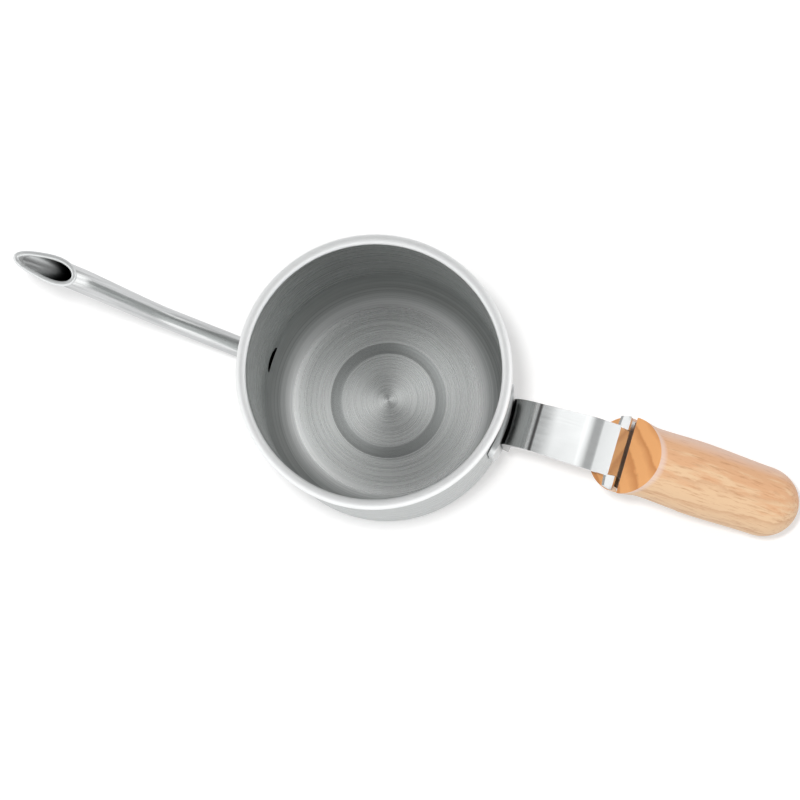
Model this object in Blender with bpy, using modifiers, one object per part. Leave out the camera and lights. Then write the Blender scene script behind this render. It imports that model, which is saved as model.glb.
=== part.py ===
"""Small drip coffee pot: an open steel cup with a long gooseneck spout and a wooden grip on a steel strap.

Metres, +Z up. The origin is on the cup's axis, in the plane the pot stands on. The handle points along +X
and the spout leaves on the other side.
"""
import math

import bmesh
import bpy
from mathutils import Matrix, Vector

# Clearance between two pieces that touch on the real pot
GAP = 0.0003

# Cup
CUP_HEIGHT = 0.0800
CUP_INNER_RADIUS = 0.0420
CUP_WALL = 0.0006
CUP_FLOOR = 0.0008
CUP_CORNER_RADIUS = 0.0070
RIM_ROLL_RADIUS = 0.0018
RIM_ROLL_TURN = math.radians(290)
FLOOR_RING_INNER_RADIUS = 0.0163
FLOOR_RING_OUTER_RADIUS = 0.0201
FLOOR_RING_HEIGHT = 0.0006
FLOOR_RING_SLOPE = 0.0006

# Spout, a tube bent in its own upright plane: a straight leg, a bend up, a second leg and a bend to the mouth.
# The second leg is as long as the mouth's height asks.
SPOUT_YAW = math.radians(178.0)
SPOUT_ROOT_HEIGHT = 0.0106
SPOUT_ROOT_RISE = math.radians(35.0)
SPOUT_FIRST_LEG = 0.0418
SPOUT_LOWER_BEND_RADIUS = 0.0360
SPOUT_CLIMB = math.radians(52.7)
SPOUT_MOUTH_BELOW_RIM = 0.0055
SPOUT_UPPER_BEND_RADIUS = 0.0259
SPOUT_MOUTH_RISE = math.radians(7.4)
SPOUT_ROOT_TAPER = 0.0130
SPOUT_ROOT_BORE_RADIUS = 0.0046
SPOUT_NECK_BORE_RADIUS = 0.0029
SPOUT_THROAT_BORE_RADIUS = 0.0034
SPOUT_MOUTH_BORE_RADIUS = 0.00345
SPOUT_WALL = 0.0006
MOUTH_CUT_TILT = math.radians(5.2)
MOUTH_CUT_ROLL = math.radians(6.2)
MOUTH_CUT_DEPTH = 0.0024
LIP_RADIUS = 0.00095
LIP_INSET = 0.0001
SPOUT_BEAD_WIDTH = 0.0020
SPOUT_BEAD_LENGTH = 0.0030

# Saddle plate that is welded to the wall, under the strap's foot
SADDLE_WIDTH = 0.0260
SADDLE_HEIGHT = 0.0220
SADDLE_THICKNESS = 0.0020
SADDLE_CORNER_RADIUS = 0.0040

# Strap: foot, bend, straight run, bend, tongue
STRAP_BELOW_RIM = 0.0301
STRAP_THICKNESS = 0.0020
STRAP_ROOT_WIDTH = 0.0162
STRAP_END_WIDTH = 0.0175
STRAP_FOOT_LENGTH = 0.0160
STRAP_ROOT_BEND_RADIUS = 0.0080
STRAP_CREASE = math.radians(4.0)
STRAP_RUN = 0.0193
STRAP_END_BEND_RADIUS = 0.0140
TONGUE_SHOULDER_BEFORE_FACE = 0.0026
TONGUE_LENGTH = 0.0240

# Wooden grip, measured along its axis from the middle of its slanted end
GRIP_DROP = math.radians(25.7)
GRIP_FACE_FROM_BEND = 0.0137
GRIP_FACE_SLANT = math.radians(30.0)
GRIP_LENGTH = 0.0657
GRIP_MOUTH_RADIUS = 0.0132
GRIP_WAIST_RADIUS = 0.0120
GRIP_BELLY_RADIUS = 0.0125
GRIP_TAIL_RADIUS = 0.0119
GRIP_WAIST_AT = 0.0080
GRIP_BELLY_AT = 0.0270
GRIP_END_ROUNDING = 0.0129
KERF_UPPER_GAP = 0.0005

# Two blind pins hold the tongue in the grip, driven in from below
PIN_RADIUS = 0.0015
PIN_SPACING = 0.0100
PIN_FROM_TONGUE_END = 0.0055
PIN_ABOVE_TONGUE = 0.0055
PIN_SINK = 0.0010

# Facets
TURN_STEPS = 64
GRIP_STEPS = 40
ROUND_STEPS = 24
CORNER_STEPS = 5
ROLL_STEPS = 12
TUBE_BEVEL_RESOLUTION = 5
LIP_BEVEL_RESOLUTION = 2
LIP_STEPS = 40
CUTTER_MARGIN = 0.0100
SPOUT_LEG_STEP = 0.0070
SPOUT_BEND_STEP = 0.0028

# Sizes that follow from the ones above
CUP_OUTER_RADIUS = CUP_INNER_RADIUS + CUP_WALL
SADDLE_OUTER_RADIUS = CUP_OUTER_RADIUS + GAP + SADDLE_THICKNESS
STRAP_FOOT_X = SADDLE_OUTER_RADIUS + GAP + STRAP_THICKNESS / 2
STRAP_Z = CUP_HEIGHT - STRAP_BELOW_RIM - STRAP_THICKNESS / 2
STRAP_BEND_TOP_X = STRAP_FOOT_X + STRAP_ROOT_BEND_RADIUS
FOOT_TOP_Z = STRAP_Z - STRAP_ROOT_BEND_RADIUS
GRIP_BEND = Vector((STRAP_BEND_TOP_X + STRAP_RUN, 0, STRAP_Z))
GRIP_AXIS = Vector((math.cos(GRIP_DROP), 0, -math.sin(GRIP_DROP)))
GRIP_UP = Vector((math.sin(GRIP_DROP), 0, math.cos(GRIP_DROP)))
GRIP_FACE = GRIP_BEND + GRIP_AXIS * GRIP_FACE_FROM_BEND
KERF_DEPTH = TONGUE_LENGTH + GAP
PINS = {"grip_pin_front": TONGUE_LENGTH - PIN_FROM_TONGUE_END - PIN_SPACING,
        "grip_pin_rear": TONGUE_LENGTH - PIN_FROM_TONGUE_END}
SPOUT_DIRECTION = Vector((math.cos(SPOUT_YAW), math.sin(SPOUT_YAW), 0))
SPOUT_BENDS_RISE = (SPOUT_LOWER_BEND_RADIUS * (math.cos(SPOUT_ROOT_RISE) - math.cos(SPOUT_CLIMB))
                    + SPOUT_UPPER_BEND_RADIUS * (math.cos(SPOUT_MOUTH_RISE) - math.cos(SPOUT_CLIMB)))
SPOUT_LEG_RISE = SPOUT_FIRST_LEG * math.sin(SPOUT_ROOT_RISE)
SPOUT_MOUTH_Z = CUP_HEIGHT - SPOUT_MOUTH_BELOW_RIM
SPOUT_SECOND_RISE = SPOUT_MOUTH_Z - SPOUT_ROOT_HEIGHT - SPOUT_LEG_RISE - SPOUT_BENDS_RISE
SPOUT_SECOND_LEG = SPOUT_SECOND_RISE / math.sin(SPOUT_CLIMB)
MOUTH_SLANT = SPOUT_MOUTH_RISE + MOUTH_CUT_TILT
SPOUT_LAST_LEG = (SPOUT_MOUTH_BORE_RADIUS + SPOUT_WALL - MOUTH_CUT_DEPTH) / math.tan(MOUTH_SLANT)


def clear_scene():
    """Remove whatever the scene holds."""
    for obj in list(bpy.data.objects):
        bpy.data.objects.remove(obj, do_unlink=True)


def new_collection(name):
    collection = bpy.data.collections.new(name)
    bpy.context.scene.collection.children.link(collection)
    return collection


def material(name, colour, metallic, roughness):
    mat = bpy.data.materials.new(name)
    mat.use_nodes = True
    shader = mat.node_tree.nodes["Principled BSDF"]
    shader.inputs["Base Color"].default_value = (*colour, 1.0)
    shader.inputs["Metallic"].default_value = metallic
    shader.inputs["Roughness"].default_value = roughness
    return mat


def mesh_object(name, bm, collection, mat=None):
    """Turn a bmesh into a named object."""
    mesh = bpy.data.meshes.new(name)
    bm.to_mesh(mesh)
    bm.free()
    obj = bpy.data.objects.new(name, mesh)
    collection.objects.link(obj)
    if mat:
        mesh.materials.append(mat)
    return obj


def as_cutter(obj):
    obj.hide_render = True
    obj.display_type = "WIRE"
    return obj


def boolean(obj, cutter, operation="DIFFERENCE", solver="EXACT"):
    mod = obj.modifiers.new(operation.lower(), "BOOLEAN")
    mod.operation = operation
    mod.solver = solver
    mod.object = cutter


def smooth(obj, angle=35):
    """Shade a round piece smooth, apart from its real edges."""
    obj.data.shade_smooth()
    obj.data.set_sharp_from_angle(angle=math.radians(angle))


def arc(centre_x, centre_z, radius, start, end, steps):
    """Points of an arc in the XZ plane, both ends included."""
    points = []
    for i in range(steps + 1):
        angle = start + (end - start) * i / steps
        points.append((centre_x + radius * math.cos(angle), centre_z + radius * math.sin(angle)))
    return points


def turned(name, profile, collection, mat=None, closed=True, steps=TURN_STEPS):
    """Turn a profile about Z. The profile runs down its outer side."""
    bm = bmesh.new()
    verts = [bm.verts.new((x, 0, z)) for x, z in profile]
    for first, second in zip(verts, verts[1:]):
        bm.edges.new((first, second))
    if closed:
        bm.edges.new((verts[-1], verts[0]))
    obj = mesh_object(name, bm, collection, mat)
    screw = obj.modifiers.new("turn", "SCREW")
    screw.axis = "Z"
    screw.steps = steps
    screw.render_steps = steps
    screw.use_merge_vertices = True
    screw.merge_threshold = 0.00001
    return obj


def cylinder(name, radius, start, end, collection, mat=None, steps=ROUND_STEPS, end_radius=None):
    """A cylinder or cone between two points."""
    bm = bmesh.new()
    axis = end - start
    bmesh.ops.create_cone(bm, cap_ends=True, segments=steps, radius1=radius,
                          radius2=radius if end_radius is None else end_radius, depth=axis.length)
    turn = Vector((0, 0, 1)).rotation_difference(axis).to_matrix().to_4x4()
    bm.transform(Matrix.Translation((start + end) / 2) @ turn)
    return mesh_object(name, bm, collection, mat)


def block(name, size, place, collection):
    """A box of the given size, centred on the origin of the matrix place."""
    bm = bmesh.new()
    bmesh.ops.create_cube(bm, size=1.0)
    bm.transform(place @ Matrix.Diagonal((*size, 1.0)))
    return mesh_object(name, bm, collection)


def round_curve(name, radius, resolution):
    """An empty curve whose splines become round rods."""
    curve = bpy.data.curves.new(name, "CURVE")
    curve.dimensions = "3D"
    curve.bevel_depth = radius
    curve.bevel_resolution = resolution
    return curve


def meshed_curve(name, curve, collection, mat=None, turn=None):
    """Turn a filled curve into a mesh object with its caps welded."""
    guide = bpy.data.objects.new(name + "_curve", curve)
    collection.objects.link(guide)
    depsgraph = bpy.context.evaluated_depsgraph_get()
    mesh = bpy.data.meshes.new_from_object(guide.evaluated_get(depsgraph))
    bm = bmesh.new()
    bm.from_mesh(mesh)
    bmesh.ops.remove_doubles(bm, verts=bm.verts, dist=0.00001)
    if turn:
        bm.transform(turn)
    bmesh.ops.recalc_face_normals(bm, faces=bm.faces)
    obj = mesh_object(name, bm, collection, mat)
    obj.matrix_world = guide.matrix_world.copy()
    bpy.data.objects.remove(guide, do_unlink=True)
    bpy.data.meshes.remove(mesh)
    return obj


def grip_matrix(origin):
    """A frame with X along the grip's axis, Y across the pot and Z square to the tongue."""
    across = Vector((0, 1, 0))
    columns = Matrix((GRIP_AXIS, across, GRIP_UP)).transposed()
    return Matrix.Translation(origin) @ columns.to_4x4()


# Cup

def floor_ring(floor):
    """The pressed ring's section, from its inner edge to its outer edge, on a floor at the given height."""
    return [(FLOOR_RING_INNER_RADIUS, floor),
            (FLOOR_RING_INNER_RADIUS + FLOOR_RING_SLOPE, floor + FLOOR_RING_HEIGHT),
            (FLOOR_RING_OUTER_RADIUS - FLOOR_RING_SLOPE, floor + FLOOR_RING_HEIGHT),
            (FLOOR_RING_OUTER_RADIUS, floor)]


def cup_profile():
    """The cup's whole section: up the inside, round the rolled rim and down the outside."""
    inner_corner = CUP_CORNER_RADIUS - CUP_WALL
    roll_x = CUP_INNER_RADIUS + RIM_ROLL_RADIUS
    roll_z = CUP_HEIGHT - RIM_ROLL_RADIUS
    roll_end = math.pi - RIM_ROLL_TURN
    profile = [(0, CUP_FLOOR)] + floor_ring(CUP_FLOOR)
    corner_x = CUP_OUTER_RADIUS - CUP_CORNER_RADIUS
    profile += arc(corner_x, CUP_FLOOR + inner_corner, inner_corner, -math.pi / 2, 0, CORNER_STEPS)
    profile += arc(roll_x, roll_z, RIM_ROLL_RADIUS, math.pi, roll_end, ROLL_STEPS)
    profile += arc(roll_x, roll_z, RIM_ROLL_RADIUS - CUP_WALL, roll_end, math.pi, ROLL_STEPS)
    profile += arc(corner_x, CUP_CORNER_RADIUS, CUP_CORNER_RADIUS, 0, -math.pi / 2, CORNER_STEPS)
    profile += reversed(floor_ring(0))
    profile.append((0, 0))
    return profile


def make_cup(parts, cutters, steel):
    cup = turned("cup_body", cup_profile(), parts, steel, closed=False)
    hole = spout_tube("cut_spout_hole", bore_radius, cutters)
    boolean(cup, as_cutter(hole))
    smooth(cup)
    return cup


# Spout

def spout_stages():
    """The spout's legs and bends, each with its length and the slopes at its start and end."""
    lower = SPOUT_LOWER_BEND_RADIUS * abs(SPOUT_CLIMB - SPOUT_ROOT_RISE)
    upper = SPOUT_UPPER_BEND_RADIUS * abs(SPOUT_CLIMB - SPOUT_MOUTH_RISE)
    return ((SPOUT_FIRST_LEG, SPOUT_ROOT_RISE, SPOUT_ROOT_RISE),
            (lower, SPOUT_ROOT_RISE, SPOUT_CLIMB),
            (SPOUT_SECOND_LEG, SPOUT_CLIMB, SPOUT_CLIMB),
            (upper, SPOUT_CLIMB, SPOUT_MOUTH_RISE),
            (SPOUT_LAST_LEG + CUTTER_MARGIN, SPOUT_MOUTH_RISE, SPOUT_MOUTH_RISE))


def route_at(distance):
    """The centre line's point and slope at a distance from the cup's wall, in the spout's upright plane."""
    here = Vector((CUP_OUTER_RADIUS, SPOUT_ROOT_HEIGHT))
    stages = spout_stages()
    for number, (length, start, end) in enumerate(stages):
        inside = distance < length or number == len(stages) - 1
        part = distance if inside else length
        if start == end:
            slope = start
            here = here + Vector((math.cos(start), math.sin(start))) * part
        else:
            turn = length / (end - start)
            slope = start + part / turn
            here = here + Vector((math.sin(slope) - math.sin(start), math.cos(start) - math.cos(slope))) * turn
        if inside:
            return here, slope
        distance -= length


def spout_distances():
    """Distances along the spout at which its tube has a ring, closer together on the bends."""
    distances = [-CUTTER_MARGIN]
    done = 0.0
    for length, start, end in spout_stages():
        step = SPOUT_LEG_STEP if start == end else SPOUT_BEND_STEP
        count = max(1, round(length / step))
        distances += [done + length * i / count for i in range(count)]
        done += length
    return distances + [done]


def spout_point(distance, radius, angle):
    """A point on a ring round the centre line. Angle 0 is on top."""
    place, slope = route_at(distance)
    up = Vector((0, 0, math.cos(slope))) - SPOUT_DIRECTION * math.sin(slope)
    side = Vector((0, 0, 1)).cross(SPOUT_DIRECTION)
    centre = SPOUT_DIRECTION * place.x + Vector((0, 0, place.y))
    return centre + (up * math.cos(angle) + side * math.sin(angle)) * radius


def throat_at():
    """Where the second leg ends and the last bend starts."""
    return sum(length for length, start, end in spout_stages()[:3])


def mouth_at():
    """Where the last bend ends."""
    return sum(length for length, start, end in spout_stages()[:4])


def between(distance, start, end, first, second):
    """A value that goes from first to second as the distance goes from start to end."""
    share = min(1.0, max(0.0, (distance - start) / (end - start)))
    return first + (second - first) * share


def bore_radius(distance):
    """The bore's radius: it narrows from the root, stays narrow, and widens to the throat and the mouth."""
    if distance < SPOUT_ROOT_TAPER:
        return between(distance, 0.0, SPOUT_ROOT_TAPER, SPOUT_ROOT_BORE_RADIUS, SPOUT_NECK_BORE_RADIUS)
    if distance < throat_at():
        return between(distance, SPOUT_FIRST_LEG, throat_at(), SPOUT_NECK_BORE_RADIUS, SPOUT_THROAT_BORE_RADIUS)
    return between(distance, throat_at(), mouth_at(), SPOUT_THROAT_BORE_RADIUS, SPOUT_MOUTH_BORE_RADIUS)


def tube_radius(distance):
    return bore_radius(distance) + SPOUT_WALL


def bead_hole_radius(distance):
    return tube_radius(distance) + GAP


def spout_tube(name, radius_at, collection, mat=None):
    """A solid tube along the spout's route, made a mesh with welded caps."""
    curve = round_curve(name, 1.0, TUBE_BEVEL_RESOLUTION)
    curve.use_fill_caps = True
    spline = curve.splines.new("POLY")
    distances = spout_distances()
    spline.points.add(len(distances) - 1)
    for spot, distance in zip(spline.points, distances):
        spot.co = (*spout_point(distance, 0, 0), 1)
        spot.radius = radius_at(distance)
    return meshed_curve(name, curve, collection, mat)


def mouth_plane():
    """A frame on the slanted cut at the mouth: X runs out along the cut and Z points out of the tube."""
    place, slope = route_at(mouth_at())
    centre = SPOUT_DIRECTION * place.x + Vector((0, 0, place.y - MOUTH_CUT_DEPTH))
    turn = Matrix.Rotation(SPOUT_YAW, 4, "Z") @ Matrix.Rotation(MOUTH_CUT_TILT, 4, "Y")
    return Matrix.Translation(centre) @ turn @ Matrix.Rotation(-MOUTH_CUT_ROLL, 4, "X")


def mouth_cutter(collection):
    """A block whose lower face is the slanted cut at the spout's mouth."""
    size = 2 * (SPOUT_UPPER_BEND_RADIUS + SPOUT_LAST_LEG)
    place = mouth_plane() @ Matrix.Translation((0, 0, size / 2))
    return block("cut_mouth", (size, size, size), place, collection)


def lip_point(angle):
    """Where the tube's outer skin, at an angle round it, meets the slanted cut."""
    to_plane = mouth_plane().inverted()
    low, high = throat_at() - SPOUT_LEG_STEP, mouth_at() + SPOUT_LAST_LEG + CUTTER_MARGIN
    for _ in range(30):
        middle = (low + high) / 2
        point = spout_point(middle, tube_radius(middle) - LIP_INSET, angle)
        if (to_plane @ point).z > 0:
            high = middle
        else:
            low = middle
    return point


def spout_lip(collection):
    """The thick rounded lip that follows the mouth's slanted edge."""
    curve = round_curve("mouth_lip", LIP_RADIUS, LIP_BEVEL_RESOLUTION)
    spline = curve.splines.new("POLY")
    spline.points.add(LIP_STEPS - 1)
    for number, spot in enumerate(spline.points):
        spot.co = (*lip_point(2 * math.pi * number / LIP_STEPS), 1)
    spline.use_cyclic_u = True
    return meshed_curve("mouth_lip", curve, collection)


def wall_cutter(name, collection):
    """The space the cup takes, with the clearance."""
    top = Vector((0, 0, CUP_HEIGHT + CUTTER_MARGIN))
    bottom = Vector((0, 0, -CUTTER_MARGIN))
    return cylinder(name, CUP_OUTER_RADIUS + GAP, bottom, top, collection, steps=4 * TURN_STEPS)


def make_spout(parts, cutters, steel):
    spout = spout_tube("spout_tube", tube_radius, parts, steel)
    bore = spout_tube("cut_spout_bore", bore_radius, cutters)
    boolean(spout, as_cutter(bore))
    boolean(spout, as_cutter(wall_cutter("cut_spout_wall", cutters)))
    boolean(spout, as_cutter(mouth_cutter(cutters)))
    boolean(spout, as_cutter(spout_lip(cutters)), "UNION", "MANIFOLD")
    smooth(spout)
    return spout


def make_spout_bead(parts, cutters, steel):
    """The fillet of weld metal round the spout's root."""
    leave = SPOUT_DIRECTION * math.cos(SPOUT_ROOT_RISE) + Vector((0, 0, math.sin(SPOUT_ROOT_RISE)))
    root = SPOUT_DIRECTION * CUP_OUTER_RADIUS + Vector((0, 0, SPOUT_ROOT_HEIGHT))
    slope = math.tan(SPOUT_ROOT_RISE)
    wide = bead_hole_radius(0) + SPOUT_BEAD_WIDTH
    start = root - leave * wide * slope
    reach = bead_hole_radius(0) * slope + SPOUT_BEAD_LENGTH
    bead = cylinder("spout_weld_bead", wide, start, root + leave * reach, parts, steel,
                    end_radius=bead_hole_radius(reach) + GAP)
    boolean(bead, as_cutter(spout_tube("cut_bead_tube", bead_hole_radius, cutters)))
    boolean(bead, as_cutter(wall_cutter("cut_bead_wall", cutters)))
    smooth(bead)
    return bead


# Saddle

def rounded_outline(name, width, height, radius, thickness, collection):
    """A flat rounded rectangle in the YZ plane, made a solid of the given thickness along X."""
    curve = bpy.data.curves.new(name, "CURVE")
    curve.dimensions = "2D"
    curve.fill_mode = "BOTH"
    curve.extrude = thickness / 2
    points = []
    for corner, (sign_u, sign_v) in enumerate(((1, 1), (-1, 1), (-1, -1), (1, -1))):
        centre = (sign_u * (width / 2 - radius), sign_v * (height / 2 - radius))
        start = corner * math.pi / 2
        points += arc(centre[0], centre[1], radius, start, start + math.pi / 2, 4)
    spline = curve.splines.new("POLY")
    spline.points.add(len(points) - 1)
    for point, (u, v) in zip(spline.points, points):
        point.co = (u, v, 0, 1)
    spline.use_cyclic_u = True
    upright = Matrix(((0, 0, 1, 0), (1, 0, 0, 0), (0, 1, 0, 0), (0, 0, 0, 1)))
    return meshed_curve(name, curve, collection, turn=upright)


def make_saddle(parts, cutters, steel):
    """A curved plate that fits the wall."""
    middle_z = FOOT_TOP_Z - STRAP_FOOT_LENGTH / 2
    low = middle_z - SADDLE_HEIGHT
    high = middle_z + SADDLE_HEIGHT
    inner = CUP_OUTER_RADIUS + GAP
    profile = [(inner, low), (inner, high), (SADDLE_OUTER_RADIUS, high), (SADDLE_OUTER_RADIUS, low)]
    saddle = turned("handle_saddle", profile, parts, steel, steps=4 * TURN_STEPS)
    outline = rounded_outline("cut_saddle", SADDLE_WIDTH, SADDLE_HEIGHT, SADDLE_CORNER_RADIUS,
                              CUP_OUTER_RADIUS, cutters)
    outline.location = (CUP_OUTER_RADIUS, 0, middle_z)
    boolean(saddle, as_cutter(outline), "INTERSECT")
    smooth(saddle)
    return saddle


# Strap

def grip_radius(along):
    """The grip's radius at a distance along its axis from the middle of its slanted end."""
    stations = ((-GRIP_WAIST_AT, GRIP_MOUTH_RADIUS), (0.0, GRIP_MOUTH_RADIUS),
                (GRIP_WAIST_AT, GRIP_WAIST_RADIUS), (GRIP_BELLY_AT, GRIP_BELLY_RADIUS),
                (GRIP_LENGTH - GRIP_END_ROUNDING, GRIP_TAIL_RADIUS))
    if along <= stations[0][0]:
        return stations[0][1]
    for (start, first), (end, second) in zip(stations, stations[1:]):
        if along <= end:
            share = (along - start) / (end - start)
            ease = (1 - math.cos(math.pi * share)) / 2
            return first + (second - first) * ease
    share = min(1.0, (along - stations[-1][0]) / GRIP_END_ROUNDING)
    return GRIP_TAIL_RADIUS * math.sqrt(1 - share * share)


def strap_line():
    """The strap's middle line in the XZ plane: rows of (x, z, half width, share of the wall's curve)."""
    rows = []
    half_root = STRAP_ROOT_WIDTH / 2
    for z in (FOOT_TOP_Z - STRAP_FOOT_LENGTH, FOOT_TOP_Z):
        rows.append((STRAP_FOOT_X, z, half_root, 1.0))
    bend_steps = 9
    sweep = math.pi / 2 - STRAP_CREASE
    for i in range(1, bend_steps + 1):
        angle = math.pi - sweep * i / bend_steps
        x = STRAP_BEND_TOP_X + STRAP_ROOT_BEND_RADIUS * math.cos(angle)
        z = FOOT_TOP_Z + STRAP_ROOT_BEND_RADIUS * math.sin(angle)
        rows.append((x, z, half_root, 1.0 - i / bend_steps))
    rows.append((STRAP_BEND_TOP_X, STRAP_Z, half_root, 0.0))
    half_end = STRAP_END_WIDTH / 2
    tangent = STRAP_END_BEND_RADIUS * math.tan(GRIP_DROP / 2)
    run_steps = 3
    for i in range(1, run_steps + 1):
        share = i / run_steps
        x = STRAP_BEND_TOP_X + (STRAP_RUN - tangent) * share
        rows.append((x, STRAP_Z, half_root + (half_end - half_root) * share, 0.0))
    end_steps = 4
    for i in range(1, end_steps + 1):
        angle = math.pi / 2 - GRIP_DROP * i / end_steps
        x = GRIP_BEND.x - tangent + STRAP_END_BEND_RADIUS * math.cos(angle)
        z = STRAP_Z - STRAP_END_BEND_RADIUS * (1 - math.sin(angle))
        rows.append((x, z, half_end, 0.0))
    shoulder = -TONGUE_SHOULDER_BEFORE_FACE
    places = [(shoulder, half_end), (shoulder + GAP, grip_radius(0) - GAP)]
    tongue_steps = 8
    for i in range(1, tongue_steps + 1):
        along = shoulder + GAP + (TONGUE_LENGTH - shoulder - GAP) * i / tongue_steps
        places.append((along, grip_radius(along) - GAP))
    for along, half in places:
        spot = GRIP_FACE + GRIP_AXIS * along
        rows.append((spot.x, spot.z, half, 0.0))
    return rows


def make_strap(parts, cutters, steel):
    """One strip of plate: a foot curved to the saddle, an arched root, a flat run and a wide tongue."""
    rows = strap_line()
    across = 8
    bm = bmesh.new()
    bmesh.ops.create_grid(bm, x_segments=len(rows) - 1, y_segments=across, size=1.0)
    foot_radius = STRAP_FOOT_X
    for vert in bm.verts:
        row = round((vert.co.x + 1) / 2 * (len(rows) - 1))
        x, z, half, curved = rows[row]
        y = vert.co.y * half
        sag = foot_radius - math.sqrt(foot_radius ** 2 - y ** 2)
        vert.co = Vector((x - sag * curved, y, z))
    bmesh.ops.recalc_face_normals(bm, faces=bm.faces)
    strap = mesh_object("handle_strap", bm, parts, steel)
    shell = strap.modifiers.new("thickness", "SOLIDIFY")
    shell.thickness = STRAP_THICKNESS
    shell.offset = 0.0
    shell.use_even_offset = True
    for name, along in PINS.items():
        boolean(strap, as_cutter(pin_hole("cut_strap_" + name, along, cutters)))
    smooth(strap, 20)
    return strap


# Grip and its pins

def pin_ends(along):
    """The lower and the upper end of a pin's axis."""
    spot = GRIP_FACE + GRIP_AXIS * along
    low = spot - GRIP_UP * (grip_radius(along) - PIN_SINK)
    high = spot + GRIP_UP * (STRAP_THICKNESS / 2 + PIN_ABOVE_TONGUE)
    return low, high


def pin_hole(name, along, collection):
    """The hole for a pin, open below and blind above."""
    low, high = pin_ends(along)
    return cylinder(name, PIN_RADIUS + GAP, low - GRIP_UP * CUTTER_MARGIN, high + GRIP_UP * GAP, collection)


def make_grip(parts, cutters, wood):
    """A turned grip with a slanted end, a saw kerf for the tongue and a rounded tail."""
    steps = 26
    start = -GRIP_MOUTH_RADIUS * math.tan(GRIP_FACE_SLANT) - CUTTER_MARGIN
    straight_end = GRIP_LENGTH - GRIP_END_ROUNDING
    profile = [(0, -GRIP_LENGTH)]
    tail_steps = 7
    for i in range(1, tail_steps + 1):
        angle = math.pi / 2 * i / tail_steps
        profile.append((GRIP_TAIL_RADIUS * math.sin(angle), -straight_end - GRIP_END_ROUNDING * math.cos(angle)))
    for i in range(1, steps - tail_steps + 1):
        along = straight_end + (start - straight_end) * i / (steps - tail_steps)
        profile.append((grip_radius(along), -along))
    profile.append((0, -start))
    profile.reverse()
    grip = turned("wooden_grip", profile, parts, wood, closed=False, steps=GRIP_STEPS)
    turn = Vector((0, 0, -1)).rotation_difference(GRIP_AXIS)
    grip.rotation_mode = "QUATERNION"
    grip.rotation_quaternion = turn
    grip.location = GRIP_FACE
    frame = grip_matrix(GRIP_FACE)
    size = 4 * GRIP_MOUTH_RADIUS
    slant = frame @ Matrix.Rotation(GRIP_FACE_SLANT, 4, "Y") @ Matrix.Translation((-size / 2, 0, 0))
    boolean(grip, as_cutter(block("cut_grip_face", (size, size, size), slant, cutters)))
    kerf_low = -STRAP_THICKNESS / 2 - GAP
    kerf_high = STRAP_THICKNESS / 2 + KERF_UPPER_GAP
    kerf_place = frame @ Matrix.Translation((KERF_DEPTH - size / 2, 0, (kerf_low + kerf_high) / 2))
    kerf = block("cut_kerf", (size, size, kerf_high - kerf_low), kerf_place, cutters)
    boolean(grip, as_cutter(kerf))
    for name, along in PINS.items():
        boolean(grip, as_cutter(pin_hole("cut_grip_" + name, along, cutters)))
    smooth(grip)
    return grip


def make_pin(name, along, parts, steel):
    """A blind pin through the tongue, at a distance along the grip."""
    low, high = pin_ends(along)
    pin = cylinder(name, PIN_RADIUS, low, high, parts, steel)
    smooth(pin)
    return pin


def main():
    clear_scene()
    parts = new_collection("gooseneck_coffee_pot")
    cutters = new_collection("cutters")
    brushed = material("brushed_steel", (0.62, 0.63, 0.63), 1.0, 0.32)
    polished = material("polished_steel", (0.68, 0.69, 0.69), 1.0, 0.12)
    weld = material("weld_steel", (0.50, 0.49, 0.47), 1.0, 0.45)
    wood = material("oiled_beech", (0.72, 0.47, 0.29), 0.0, 0.50)
    make_cup(parts, cutters, brushed)
    make_spout(parts, cutters, polished.copy())
    make_spout_bead(parts, cutters, weld)
    make_saddle(parts, cutters, polished.copy())
    make_strap(parts, cutters, polished)
    make_grip(parts, cutters, wood)
    for name, along in PINS.items():
        make_pin(name, along, parts, brushed.copy())


main()
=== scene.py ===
"""Looks for a small drip coffee pot: a spun steel cup, a gooseneck spout and a beech grip on a steel strap.

Metres, +Z up. The cup stands on the origin, the handle points along +X and the spout leaves on the other side.
"""

import logging
import math
from collections.abc import Callable, Mapping, Sequence
from dataclasses import dataclass, field
from enum import Enum
from functools import partial
from itertools import pairwise

import bmesh
import bpy
from bpy.types import Material, Mesh, Node, NodeSocket, NodeTree, Object
from mathutils import Matrix, Vector


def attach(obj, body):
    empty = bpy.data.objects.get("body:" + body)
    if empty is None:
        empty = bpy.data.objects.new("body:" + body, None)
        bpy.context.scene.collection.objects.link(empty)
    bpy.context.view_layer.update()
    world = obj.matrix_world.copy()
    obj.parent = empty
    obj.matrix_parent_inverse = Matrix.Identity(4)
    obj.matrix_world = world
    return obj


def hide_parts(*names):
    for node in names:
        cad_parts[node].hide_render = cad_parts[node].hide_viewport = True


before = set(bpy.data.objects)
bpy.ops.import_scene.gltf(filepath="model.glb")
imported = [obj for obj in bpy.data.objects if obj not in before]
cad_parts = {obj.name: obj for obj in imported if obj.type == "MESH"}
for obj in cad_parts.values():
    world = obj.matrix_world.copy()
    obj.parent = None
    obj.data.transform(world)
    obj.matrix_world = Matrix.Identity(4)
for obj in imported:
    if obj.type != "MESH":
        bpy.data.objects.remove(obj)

LOG = logging.getLogger("gooseneck_pot")
BODY = "root"
MM = 0.001
SAME_POINT = 2e-6
Point2 = tuple[float, float]
Point3 = tuple[float, float, float]
Adder = Callable[..., Node]
Inputs = Mapping[int | str, object] | Sequence[object]
Outputs = Mapping[str, NodeSocket]


class Join(Enum):
    """What a boolean does with the second shape."""
    CUT = "DIFFERENCE"
    ADD = "UNION"


class Solver(Enum):
    """How a boolean is worked out."""
    EXACT = "EXACT"
    MANIFOLD = "MANIFOLD"


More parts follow.
